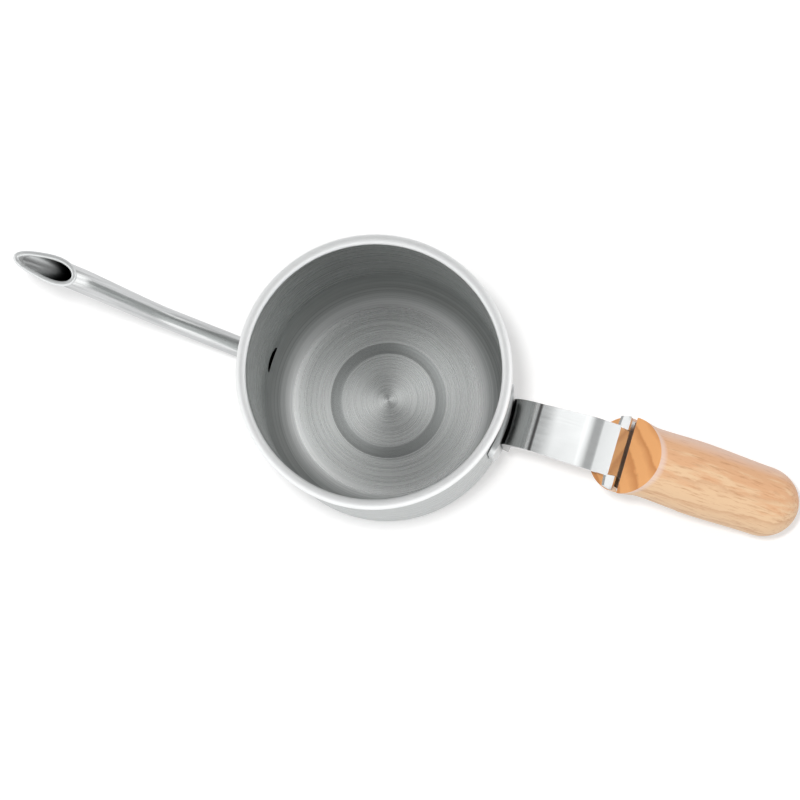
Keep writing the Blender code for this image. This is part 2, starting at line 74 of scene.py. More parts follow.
class Ease(Enum):
    """How a mask goes from one value to another."""
    STRAIGHT = "LINEAR"
    SOFT = "SMOOTHSTEP"


# Small helpers

def linear(colour: str) -> tuple[float, float, float, float]:
    """Turn an sRGB hex colour into a linear one.

    Args:
        colour: Six hex digits after a hash sign.

    Returns:
        Red, green, blue and an alpha of 1.
    """
    channels = [int(colour[i:i + 2], 16) / 255 for i in (1, 3, 5)]
    red, green, blue = (c / 12.92 if c <= 0.04045 else ((c + 0.055) / 1.055) ** 2.4 for c in channels)
    return red, green, blue, 1.0


def fill(node: Node, inputs: Inputs) -> None:
    """Fill or link a node's inputs.

    Args:
        node: The node.
        inputs: What each input gets, by name or number, or else in order: a value, an output, or a node, which
            stands for its first output.
    """
    for key, value in inputs.items() if isinstance(inputs, Mapping) else enumerate(inputs):
        if isinstance(value, Node):
            value = value.outputs[0]
        if isinstance(value, NodeSocket):
            node.id_data.links.new(value, node.inputs[key])
        else:
            node.inputs[key].default_value = value


def add_node(tree: NodeTree, kind: str, inputs: Inputs = (), **settings: object) -> Node:
    """Add a node, set its properties, and fill or link its inputs.

    Args:
        tree: The node tree that gets the node.
        kind: The node's type name.
        inputs: What each input gets, as in fill.
        settings: The node's own properties.

    Returns:
        The new node.
    """
    node = tree.nodes.new(kind)
    for key, value in settings.items():
        setattr(node, key, value)
    fill(node, inputs)
    return node


def window(add: Adder, value: NodeSocket | Node, rise: Point2, fall: Point2,
           ease: Ease = Ease.STRAIGHT) -> Node:
    """A mask that rises between two values and falls between two others.

    Args:
        add: Adds a node to the tree.
        value: The value.
        rise: Where the mask starts and ends to rise.
        fall: Where it starts and ends to fall.
        ease: How it rises and falls.

    Returns:
        The mask.
    """
    up = add("ShaderNodeMapRange", (value, *rise), interpolation_type=ease.value)
    down = add("ShaderNodeMapRange", (value, *fall, 1.0, 0.0), interpolation_type=ease.value)
    return add("ShaderNodeMath", (up, down), operation="MULTIPLY")


def paint(add: Adder, base: str, *layers: tuple[NodeSocket | Node, str | NodeSocket]) -> NodeSocket:
    """Lay colours over one another, each through a mask of its own.

    Args:
        add: Adds a node to the material's tree.
        base: The lowest colour in hex digits.
        layers: The mask and the colour of each layer above it, the colour in hex digits or as an output.

    Returns:
        The mixed colour.
    """
    mixed = linear(base)
    for mask, over in layers:
        colour = linear(over) if isinstance(over, str) else over
        mixed = add("ShaderNodeMix", {0: mask, 6: mixed, 7: colour}, data_type="RGBA").outputs[2]
    return mixed


def chain_mesh(name: str, points: Sequence[Sequence[float]], closed: bool = False,
               scales: Sequence[float] = ()) -> Mesh:
    """A chain of edges for a geometry tree to turn or to sweep along.

    Args:
        name: The mesh's name.
        points: The chain's points.
        closed: Whether the last point joins the first.
        scales: The sweep's radius at each point, if it has one.

    Returns:
        A mesh with edges alone.
    """
    mesh = bpy.data.meshes.new(name)
    edges = [(i, i + 1) for i in range(len(points) - 1)]
    if closed:
        edges.append((len(points) - 1, 0))
    mesh.from_pydata([tuple(p) for p in points], edges, [])
    if scales:
        mesh.attributes.new("sweep_radius", "FLOAT", "POINT").data.foreach_set("value", list(scales))
    return mesh


def link(obj: Object) -> Object:
    """Put an object into the scene."""
    bpy.context.scene.collection.objects.link(obj)
    return obj


def bake_modifiers(obj: Object) -> Object:
    """Replace an object's mesh by what its modifiers make of it, and drop the modifiers.

    Args:
        obj: The object.

    Returns:
        The same object.
    """
    depsgraph = bpy.context.evaluated_depsgraph_get()
    mesh = bpy.data.meshes.new_from_object(obj.evaluated_get(depsgraph), preserve_all_data_layers=True,
                                           depsgraph=depsgraph)
    obj.modifiers.clear()
    obj.data = mesh
    return obj


def modify(obj: Object, kind: str, **settings: object) -> Object:
    """Put a modifier on an object and keep what it makes as a plain mesh.

    Args:
        obj: The object.
        kind: The modifier's type name.
        settings: The modifier's own properties.

    Returns:
        The same object.
    """
    modifier = obj.modifiers.new(kind.lower(), kind)
    for key, value in settings.items():
        setattr(modifier, key, value)
    return bake_modifiers(obj)


def grow(name: str, seed: Mesh, tree: NodeTree, values: Mapping[str, object]) -> Object:
    """Run a geometry tree on a seed mesh and keep the result as a plain mesh.

    Args:
        name: The new object's name.
        seed: The mesh that goes into the tree.
        tree: The tree.
        values: The tree's inputs by name.

    Returns:
        The object, with its faces turned outwards.
    """
    obj = link(bpy.data.objects.new(name, seed))
    modifier = obj.modifiers.new("grow", "NODES")
    modifier.node_group = tree
    sockets = {item.name: item.identifier for item in tree.interface.items_tree
               if item.item_type == "SOCKET" and item.in_out == "INPUT"}
    for label, value in values.items():
        modifier[sockets[label]] = value
    return dress(face_outwards(bake_modifiers(obj)), values["Material"])


def dress(obj: Object, material: Material | None) -> Object:
    """Give a whole piece one material, with no empty slots from cutters left.

    Args:
        obj: The piece.
        material: Its finish.

    Returns:
        The same piece.
    """
    obj.data.materials.clear()
    obj.data.materials.append(material)
    obj.data.polygons.foreach_set("material_index", [0] * len(obj.data.polygons))
    return obj


def face_outwards(obj: Object) -> Object:
    """Merge doubled points and turn every face outwards.

    Args:
        obj: The piece.

    Returns:
        The same piece.
    """
    shape = bmesh.new()
    shape.from_mesh(obj.data)
    bmesh.ops.remove_doubles(shape, verts=shape.verts, dist=SAME_POINT)
    bmesh.ops.recalc_face_normals(shape, faces=shape.faces)
    shape.to_mesh(obj.data)
    shape.free()
    return obj


def mesh_piece(name: str, shape: bmesh.types.BMesh, material: Material | None = None) -> Object:
    """Turn a bmesh into an object in the scene.

    Args:
        name: The object's name.
        shape: The bmesh, which is freed.
        material: The object's finish, if it has one.

    Returns:
        The object.
    """
    mesh = bpy.data.meshes.new(name)
    shape.to_mesh(mesh)
    shape.free()
    if material:
        mesh.materials.append(material)
    return link(bpy.data.objects.new(name, mesh))


def combine(obj: Object, tool: Object, join: Join, solver: Solver = Solver.EXACT) -> Object:
    """Cut one shape with another or add it, and remove the other. The new faces keep the other shape's finish.

    Args:
        obj: The object that stays.
        tool: The shape that cuts it or joins it. Without a finish of its own it takes the object's.
        join: What to do.
        solver: How to work it out.

    Returns:
        The object, with a plain mesh.
    """
    if not tool.data.materials:
        tool.data.materials.append(obj.data.materials[0])
    modify(obj, "BOOLEAN", operation=join.value, solver=solver.value, material_mode="TRANSFER", object=tool)
    bpy.data.objects.remove(tool, do_unlink=True)
    return obj


def block(size: float, height: float, place: Matrix) -> Object:
    """A square cutter block, centred on the origin of a matrix.

    Args:
        size: The block's length and width.
        height: Its height.
        place: The matrix.

    Returns:
        The cutter.
    """
    shape = bmesh.new()
    bmesh.ops.create_cube(shape, size=1.0)
    shape.transform(place @ Matrix.Diagonal((size, size, height, 1.0)))
    return mesh_piece("cutter_block", shape)


def rod(radius: float, start: Vector, end: Vector, steps: int) -> Object:
    """A round cutter between two points.

    Args:
        radius: The rod's radius.
        start: The middle of one end.
        end: The middle of the other.
        steps: Facets round it.

    Returns:
        The cutter.
    """
    shape = bmesh.new()
    axis = end - start
    bmesh.ops.create_cone(shape, cap_ends=True, segments=steps, radius1=radius, radius2=radius,
                          depth=axis.length)
    turn = Vector((0, 0, 1)).rotation_difference(axis).to_matrix().to_4x4()
    shape.transform(Matrix.Translation((start + end) / 2) @ turn)
    return mesh_piece("cutter_rod", shape)


def round_edges(obj: Object, width: float, angle: float) -> Object:
    """Round the edges of a piece that are sharper than an angle in degrees."""
    return modify(obj, "BEVEL", width=width, segments=3, limit_method="ANGLE", angle_limit=math.radians(angle))


def bend_plate(name: str, rows: Sequence[Sequence[Sequence[float]]], thickness: float, outside: bool,
               steel: Material) -> Object:
    """A plate of even thickness through rows of points.

    Args:
        name: The new object's name.
        rows: The rows, all with the same number of points.
        thickness: The plate's thickness.
        outside: Whether the points lie on the face away from the pot, or else halfway through the plate.
        steel: The plate's finish.

    Returns:
        The plate with sharp edges.
    """
    shape = bmesh.new()
    grid = [[shape.verts.new(point) for point in row] for row in rows]
    for first, second in pairwise(grid):
        for (a, b), (d, c) in zip(pairwise(first), pairwise(second)):
            shape.faces.new((a, d, c, b))
    bmesh.ops.recalc_face_normals(shape, faces=shape.faces)
    plate = mesh_piece(name, shape, steel)
    if outside and plate.data.polygons[0].normal.x < 0:
        plate.data.flip_normals()
    modify(plate, "SOLIDIFY", thickness=thickness, offset=-1.0 if outside else 0.0, use_even_offset=True)
    return face_outwards(plate)


def sweep(name: str, sweeping: NodeTree, path: Sequence[Vector], radii: Sequence[float], sides: int,
          finish: Material | None, closed: bool = True, ripple: Point2 = (1.0, 0.0)) -> Object:
    """Sweep a round section along a path.

    Args:
        name: The new object's name.
        sweeping: The tree that sweeps a round section.
        path: The path's points.
        radii: The section's radius at each of them.
        sides: Facets round the section.
        finish: The new object's finish.
        closed: Whether the path is a loop. An open one gets caps.
        ripple: The ripples' pitch, and their depth as a share of the radius.

    Returns:
        The swept object.
    """
    pitch, depth = ripple
    return grow(name, chain_mesh(name + "_path", path, closed, radii), sweeping, {
        "Sides": sides, "Ripple Pitch": pitch, "Ripple Depth": depth, "Caps": not closed, "Material": finish})


def shade(obj: Object, angle: float = 35) -> Object:
    """Shade a piece smooth, apart from edges sharper than the angle in degrees.

    Args:
        obj: The piece.
        angle: The angle in degrees.

    Returns:
        The same piece.
    """
    obj.data.shade_smooth()
    obj.data.set_sharp_from_angle(angle=math.radians(angle))
    return obj


def arc(centre: Point2, radius: float, start: float, end: float, steps: int) -> list[Point2]:
    """Points of an arc, both ends included.

    Args:
        centre: The arc's centre.
        radius: Its radius.
        start: The angle of its first point, in radians.
        end: The angle of its last point.
        steps: How many facets it has.

    Returns:
        The points in order.
    """
    angles = [start + (end - start) * i / steps for i in range(steps + 1)]
    return [(centre[0] + radius * math.cos(a), centre[1] + radius * math.sin(a)) for a in angles]


def finer(points: Sequence[Point2], longest: float) -> list[Point2]:
    """Split long stretches of a section, with a short stretch at each end of one so that shading stays crisp.

    Args:
        points: The section.
        longest: The longest stretch that stays whole.

    Returns:
        The section with more points.
    """
    guard = longest / 8
    result = [points[0]]
    for (x0, z0), (x1, z1) in pairwise(points):
        length = math.hypot(x1 - x0, z1 - z0)
        if length > longest:
            count = math.ceil((length - 2 * guard) / longest)
            marks = [guard + (length - 2 * guard) * i / count for i in range(count + 1)]
            result += [(x0 + (x1 - x0) * m / length, z0 + (z1 - z0) * m / length) for m in marks]
        result.append((x1, z1))
    return result


# Geometry trees

def new_geometry_tree(name: str, sockets: Mapping[str, str]) -> tuple[NodeTree, Adder, Outputs]:
    """Start a geometry tree.

    Args:
        name: The tree's name.
        sockets: The kind of each input, by name.

    Returns:
        The tree, what adds a node to it, and what the inputs give, by name.
    """
    tree = bpy.data.node_groups.new(name, "GeometryNodeTree")
    for label, kind in sockets.items():
        tree.interface.new_socket(name=label, in_out="INPUT", socket_type="NodeSocket" + kind)
    tree.interface.new_socket(name="Geometry", in_out="OUTPUT", socket_type="NodeSocketGeometry")
    return tree, partial(add_node, tree), add_node(tree, "NodeGroupInput").outputs


def close_geometry_tree(add: Adder, geometry: Node, material: NodeSocket) -> None:
    """End a geometry tree in smooth faces, real meshes and the material.

    Args:
        add: Adds a node to the tree.
        geometry: What the tree has made so far.
        material: What gives the material.
    """
    smooth = add("GeometryNodeSetShadeSmooth", {"Geometry": geometry})
    real = add("GeometryNodeRealizeInstances", {"Geometry": smooth})
    dressed = add("GeometryNodeSetMaterial", {"Geometry": real, "Material": material})
    add("NodeGroupOutput", (dressed,))


def turning_tree() -> NodeTree:
    """A tree that turns a section in the XZ plane about Z, as a lathe does.

    Returns:
        The new tree.
    """
    tree, add, given = new_geometry_tree("turned_about_z", {
        "Section": "Geometry", "Steps": "Int", "Material": "Material"})
    rows = add("GeometryNodeAttributeDomainSize", (given["Section"],), component="MESH").outputs["Point Count"]
    columns = add("ShaderNodeMath", (given["Steps"], 1.0), operation="ADD")
    grid = add("GeometryNodeMeshGrid", {
        "Size X": 1.0, "Size Y": 1.0, "Vertices X": columns, "Vertices Y": rows})
    here = add("GeometryNodeInputPosition")
    flat = add("ShaderNodeSeparateXYZ", (here,)).outputs
    angle = add("ShaderNodeMath", (flat["X"], math.tau, math.pi), operation="MULTIPLY_ADD")
    last = add("ShaderNodeMath", (rows, 1.0), operation="SUBTRACT")
    share = add("ShaderNodeMath", (flat["Y"], 0.5), operation="ADD")
    number = add("ShaderNodeMath", (share, last), operation="MULTIPLY")
    whole = add("ShaderNodeMath", (number,), operation="ROUND")
    spot = add("GeometryNodeSampleIndex", {"Geometry": given["Section"], "Value": here, "Index": whole},
               data_type="FLOAT_VECTOR")
    profile = add("ShaderNodeSeparateXYZ", (spot,)).outputs
    turns = [add("ShaderNodeMath", (angle,), operation=name) for name in ("COSINE", "SINE")]
    x, y = (add("ShaderNodeMath", (profile["X"], turn), operation="MULTIPLY") for turn in turns)
    place = add("ShaderNodeCombineXYZ", (x, y, profile["Z"]))
    mapped = add("GeometryNodeStoreNamedAttribute", {
        "Geometry": grid, "Name": "UVMap", "Value": grid.outputs["UV Map"]},
        data_type="FLOAT2", domain="CORNER")
    turned = add("GeometryNodeSetPosition", {"Geometry": mapped, "Position": place})
    closed = add("GeometryNodeMergeByDistance", {"Geometry": turned, "Distance": SAME_POINT})
    close_geometry_tree(add, closed, given["Material"])
    return tree


def sweeping_tree() -> NodeTree:
    """A tree that sweeps a round section along a path. The radius comes from the path and may ripple.

    Returns:
        The new tree.
    """
    tree, add, given = new_geometry_tree("swept_along_path", {
        "Path": "Geometry", "Sides": "Int", "Ripple Pitch": "Float", "Ripple Depth": "Float", "Caps": "Bool",
        "Material": "Material"})
    line = add("GeometryNodeMeshToCurve", {"Mesh": given["Path"]})
    length = add("GeometryNodeSplineParameter").outputs["Length"]
    beat = add("ShaderNodeMath", (length, given["Ripple Pitch"]), operation="DIVIDE")
    phase = add("ShaderNodeMath", (beat, math.pi), operation="MULTIPLY")
    wave = add("ShaderNodeMath", (phase,), operation="SINE")
    hump = add("ShaderNodeMath", (wave,), operation="ABSOLUTE")
    swell = add("ShaderNodeMath", (hump, given["Ripple Depth"], 1.0), operation="MULTIPLY_ADD")
    radius = add("GeometryNodeInputNamedAttribute", {"Name": "sweep_radius"}, data_type="FLOAT")
    scale = add("ShaderNodeMath", (radius, swell), operation="MULTIPLY")
    ring = add("GeometryNodeCurvePrimitiveCircle", {"Resolution": given["Sides"], "Radius": 1.0})
    tube = add("GeometryNodeCurveToMesh", {
        "Curve": line, "Profile Curve": ring, "Scale": scale, "Fill Caps": given["Caps"]})
    close_geometry_tree(add, tube, given["Material"])
    return tree


def pin_row_tree(turning: NodeTree) -> NodeTree:
    """A tree that sets turned pins in a row.

    Args:
        turning: The tree that turns a section about Z.

    Returns:
        The new tree.
    """
    tree, add, given = new_geometry_tree("pins_in_a_row", {
        "Section": "Geometry", "Count": "Int", "Steps": "Int", "Start": "Vector", "Step": "Vector",
        "Turn": "Vector", "Material": "Material"})
    passed = {label: given[label] for label in ("Section", "Steps", "Material")}
    pin = add("GeometryNodeGroup", passed, node_tree=turning)
    spots = add("GeometryNodeMeshLine", {
        "Count": given["Count"], "Start Location": given["Start"], "Offset": given["Step"]})
    turn = add("FunctionNodeEulerToRotation", (given["Turn"],))
    row = add("GeometryNodeInstanceOnPoints", {"Points": spots, "Instance": pin, "Rotation": turn})
    close_geometry_tree(add, row, given["Material"])
    return tree


# Finishes

def new_material(name: str) -> tuple[Material, Adder, Node]:
    """A new material, what adds a node to its tree, and its main shader.

    Args:
        name: The material's name.

    Returns:
        The three.
    """
    material = bpy.data.materials.new(name)
    material.use_nodes = True
    return material, partial(add_node, material.node_tree), material.node_tree.nodes["Principled BSDF"]


@dataclass(frozen=True)
class SpunSteel:
    """Stainless steel sheet, drawn to a cup and brushed with grit cloth while it turns.

    The brushing leaves fine lines round the axis, so highlights spread out square to them. The lines are drawn
    coarser than the cloth leaves them, because they would be too fine to show. They are strong on the floor and
    faint on the wall. The cloth doesn't reach the pressed ring, which stays smoother; its darker colour is
    painted shade. The round corner gets a paler colour, which is a painted highlight, and it is rougher where
    it turns up into the wall. The rolled rim is blasted to an even satin, and its paler colour is a painted
    highlight. A band is an inner radius, an outer radius and half the width of its soft edges.
    """
    name: str = "spun_stainless_steel"
    light: str = "#DEE0DF"
    dark: str = "#ACAFAE"
    wall: str = "#C4C7C6"
    # painted shade: the pressed ring's darker colour
    ring: str = "#969998"
    # painted highlight: the paler colour of the rolled rim and of the round corner
    rim: str = "#FCFDFD"
    roughness: float = 0.27
    anisotropy: float = 0.9
    lines: tuple[Point2, Point2] = ((0.5 * MM, 0.3), (1.7 * MM, 0.2))
    coarse_share: float = 0.28
    line_depth: float = 0.012 * MM
    wall_from: Point2 = (3.0 * MM, 12.0 * MM)
    wall_share: float = 0.75
    ring_band: Point3 = (16.3 * MM, 20.1 * MM, 0.2 * MM)
    ring_below: float = 2.5 * MM
    ring_rougher: float = -0.06
    # the round corner's band of painted highlight, which fades out upwards
    corner_band: Point3 = (30.8 * MM, 35.6 * MM, 3.0 * MM)
    corner_below: float = 9.0 * MM
    corner_highlight_share: float = 0.45
    fillet_band: Point3 = (35.5 * MM, 46.0 * MM, 3.0 * MM)
    fillet_below: float = 14.0 * MM
    fillet_rougher: float = 0.26
    rim_radius: float = 42.15 * MM
    rim_above: float = 75.0 * MM
    rim_rougher: float = 0.4

    def material(self) -> Material:
        """Build the material.

        Returns:
            The material.
        """
        material, add, shader = new_material(self.name)
        place = add("ShaderNodeTexCoord").outputs["Object"]
        height = add("ShaderNodeSeparateXYZ", (place,)).outputs["Z"]
        flat = add("ShaderNodeVectorMath", (place, (1, 1, 0)), operation="MULTIPLY")
        radius = add("ShaderNodeVectorMath", (flat,), operation="LENGTH").outputs["Value"]
        ring, corner, fillet = (window(add, radius, (inner - edge, inner + edge), (outer - edge, outer + edge))
                                for inner, outer, edge in (self.ring_band, self.corner_band, self.fillet_band))
        low = add("ShaderNodeMath", (height, self.ring_below), operation="LESS_THAN")
        # the pressed ring: smoother, and darker as painted shade
        in_ring = add("ShaderNodeMath", (ring, low), operation="MULTIPLY")
        wide = add("ShaderNodeMath", (radius, self.rim_radius), operation="GREATER_THAN")
        high = add("ShaderNodeMath", (height, self.rim_above), operation="GREATER_THAN")
        in_rim = add("ShaderNodeMath", (wide, high), operation="MULTIPLY")
        # painted highlight: a paler band in the round corner, fading out upwards
        under = add("ShaderNodeMapRange", (
            height, self.corner_below, self.corner_below / 2, 0.0, self.corner_highlight_share))
        corner_painted_highlight = add("ShaderNodeMath", (corner, under), operation="MULTIPLY")
        # painted highlight: the paler colour over the rim and the round corner
        pale = add("ShaderNodeMath", (in_rim, corner_painted_highlight), operation="MAXIMUM")
        on_wall = add("ShaderNodeMapRange", (height, *self.wall_from, 0.0, self.wall_share))
        lines = self.brushed_lines(add, flat, add("ShaderNodeMath", (radius, height), operation="ADD"))
        contrast = add("ShaderNodeMapRange", (lines, 0.32, 0.68))
        rough = add("ShaderNodeMapRange", (lines, 0.3, 0.7, self.roughness - 0.05, self.roughness + 0.06))
        foot = add("ShaderNodeMapRange", (
            height, self.fillet_below, self.fillet_below / 2, 0.0, self.fillet_rougher))
        for mask, more in ((in_ring, self.ring_rougher), (fillet, foot), (in_rim, self.rim_rougher)):
            rough = add("ShaderNodeMath", (mask, more, rough), operation="MULTIPLY_ADD")
        spread = add("ShaderNodeMath", (in_rim, -self.anisotropy, self.anisotropy), operation="MULTIPLY_ADD")
        fill(shader, {
            "Base Color": paint(add, self.dark, (contrast, self.light), (on_wall, self.wall),
                                (in_ring, self.ring), (pale, self.rim)),
            "Roughness": rough, "Anisotropic": spread, "Anisotropic Rotation": 0.25, "Metallic": 1.0,
            "Tangent": add("ShaderNodeTangent", direction_type="UV_MAP", uv_map="UVMap"),
            "Normal": add("ShaderNodeBump", {"Strength": 0.6, "Distance": self.line_depth, "Height": lines})})
        return material

    def brushed_lines(self, add: Adder, flat: Node, along: Node) -> Node:
        """Fine and coarse lines round the axis.

        Args:
            add: Adds a node to the material's tree.
            flat: The place in the cup's plane.
            along: The distance along the cup's section.

        Returns:
            The lines as one noise.
        """
        around = add("ShaderNodeVectorMath", (flat,), operation="NORMALIZE")
        noises = []
        for pitch, arc_share in self.lines:
            beat = add("ShaderNodeMath", (along, 1 / pitch), operation="MULTIPLY")
            lift = add("ShaderNodeCombineXYZ", {2: beat})
            spot = add("ShaderNodeVectorMath", (around, (arc_share,) * 3, lift), operation="MULTIPLY_ADD")
            noises.append(add("ShaderNodeTexNoise", {
                "Vector": spot, "Scale": 1.0, "Detail": 2.0, "Roughness": 0.6}))
        return add("ShaderNodeMix", {0: self.coarse_share, 2: noises[0], 3: noises[1]}, data_type="FLOAT")


@dataclass(frozen=True)
class BuffedSteel:
    """Stainless steel plate or tube, buffed on a wheel.

    Buffing leaves a near mirror with faint, long streaks along the piece, which soften the reflections a
    little. Between a start and an end along X, a dark painted shade fades out where the piece lies in shade. A
    dull, dark line across, at a crease, is painted shade too.
    """
    name: str = "buffed_stainless_steel"
    light: str = "#E8EAEA"
    dark: str = "#DCDEDE"
    # painted shade: the dark colour laid where a piece lies in shade
    painted_shade: str = "#3C3A38"
    painted_shade_share: float = 0.75
    painted_shade_start: float = 0.0
    painted_shade_end: float = 0.0
    # painted shade: the dark line across a crease
    crease_shade_at: float = 0.0
    crease_shade_edge: Point2 = (0.1 * MM, 0.95 * MM)
    line_share: float = 0.9
    roughness: float = 0.16
    streaks: Point3 = (60.0, 1400.0, 1400.0)
    streak_depth: float = 0.004 * MM

    def material(self) -> Material:
        """Build the material.

        Returns:
            The material.
        """
        material, add, shader = new_material(self.name)
        place = add("ShaderNodeTexCoord").outputs["Object"]
        stretched = add("ShaderNodeMapping", {"Vector": place, "Scale": self.streaks})
        streak = add("ShaderNodeTexNoise", {
            "Vector": stretched, "Scale": 1.0, "Detail": 3.0, "Roughness": 0.55})
        cloud = add("ShaderNodeTexNoise", {"Vector": place, "Scale": 90.0, "Detail": 2.0})
        both = add("ShaderNodeMath", (streak, cloud), operation="ADD")
        fill(shader, {
            "Base Color": paint(add, self.dark, (streak, self.light), *self.films(add, place)), "Metallic": 1.0,
            "Roughness": add("ShaderNodeMapRange", (
                both, 0.6, 1.4, self.roughness - 0.04, self.roughness + 0.05)),
            "Normal": add("ShaderNodeBump", {
                "Strength": 0.5, "Distance": self.streak_depth, "Height": streak})})
        return material

    def films(self, add: Adder, place: NodeSocket) -> list[tuple[Node, str]]:
        """The painted shade and the painted shade line across the crease, where the piece has them.

        Args:
            add: Adds a node to the material's tree.
            place: The position.

        Returns:
            Each layer's mask and colour.
        """
        fades = []
        # painted shade: the dark colour fading out along X
        if self.painted_shade_end:
            along = add("ShaderNodeSeparateXYZ", (place,))
            fades.append((along, self.painted_shade_start, self.painted_shade_end, self.painted_shade_share, 0.0))
        # painted shade: the dark line across the crease
        if self.crease_shade_at:
            off = add("ShaderNodeMath", (along, self.crease_shade_at), operation="SUBTRACT")
            away = add("ShaderNodeMath", (off,), operation="ABSOLUTE")
            fades.append((away, *self.crease_shade_edge, self.line_share, 0.0))
        return [(add("ShaderNodeMapRange", fade, interpolation_type=Ease.SOFT.value), self.painted_shade)
                for fade in fades]


@dataclass(frozen=True)
class WeldSteel:
    """Weld metal, left as welded and wiped with a wire brush.

    The heat leaves thin straw and blue films, so the colour wanders between warm and cool greys.
    """
    name: str = "brushed_weld_metal"
    cool: str = "#A9AFB8"
    straw: str = "#C4B79C"
    grey: str = "#BEBFBE"
    roughness: float = 0.34
    patch: float = 3.0 * MM
    depth: float = 0.05 * MM

    def material(self) -> Material:
        """Build the material.

        Returns:
            The material.
        """
        material, add, shader = new_material(self.name)
        place = add("ShaderNodeTexCoord").outputs["Object"]
        patches = add("ShaderNodeTexNoise", {"Vector": place, "Scale": 1 / self.patch, "Detail": 3.0})
        films = add("ShaderNodeMapRange", (patches, 0.4, 0.62))
        grain = add("ShaderNodeTexNoise", {"Vector": place, "Scale": 6 / self.patch, "Detail": 2.0})
        fill(shader, {
            "Base Color": paint(add, self.cool, (films, self.straw), (grain, self.grey)), "Metallic": 1.0,
            "Roughness": add("ShaderNodeMapRange", (
                grain, 0.3, 0.7, self.roughness - 0.06, self.roughness + 0.12)),
            "Normal": add("ShaderNodeBump", {"Strength": 0.5, "Distance": self.depth, "Height": grain})})
        return material


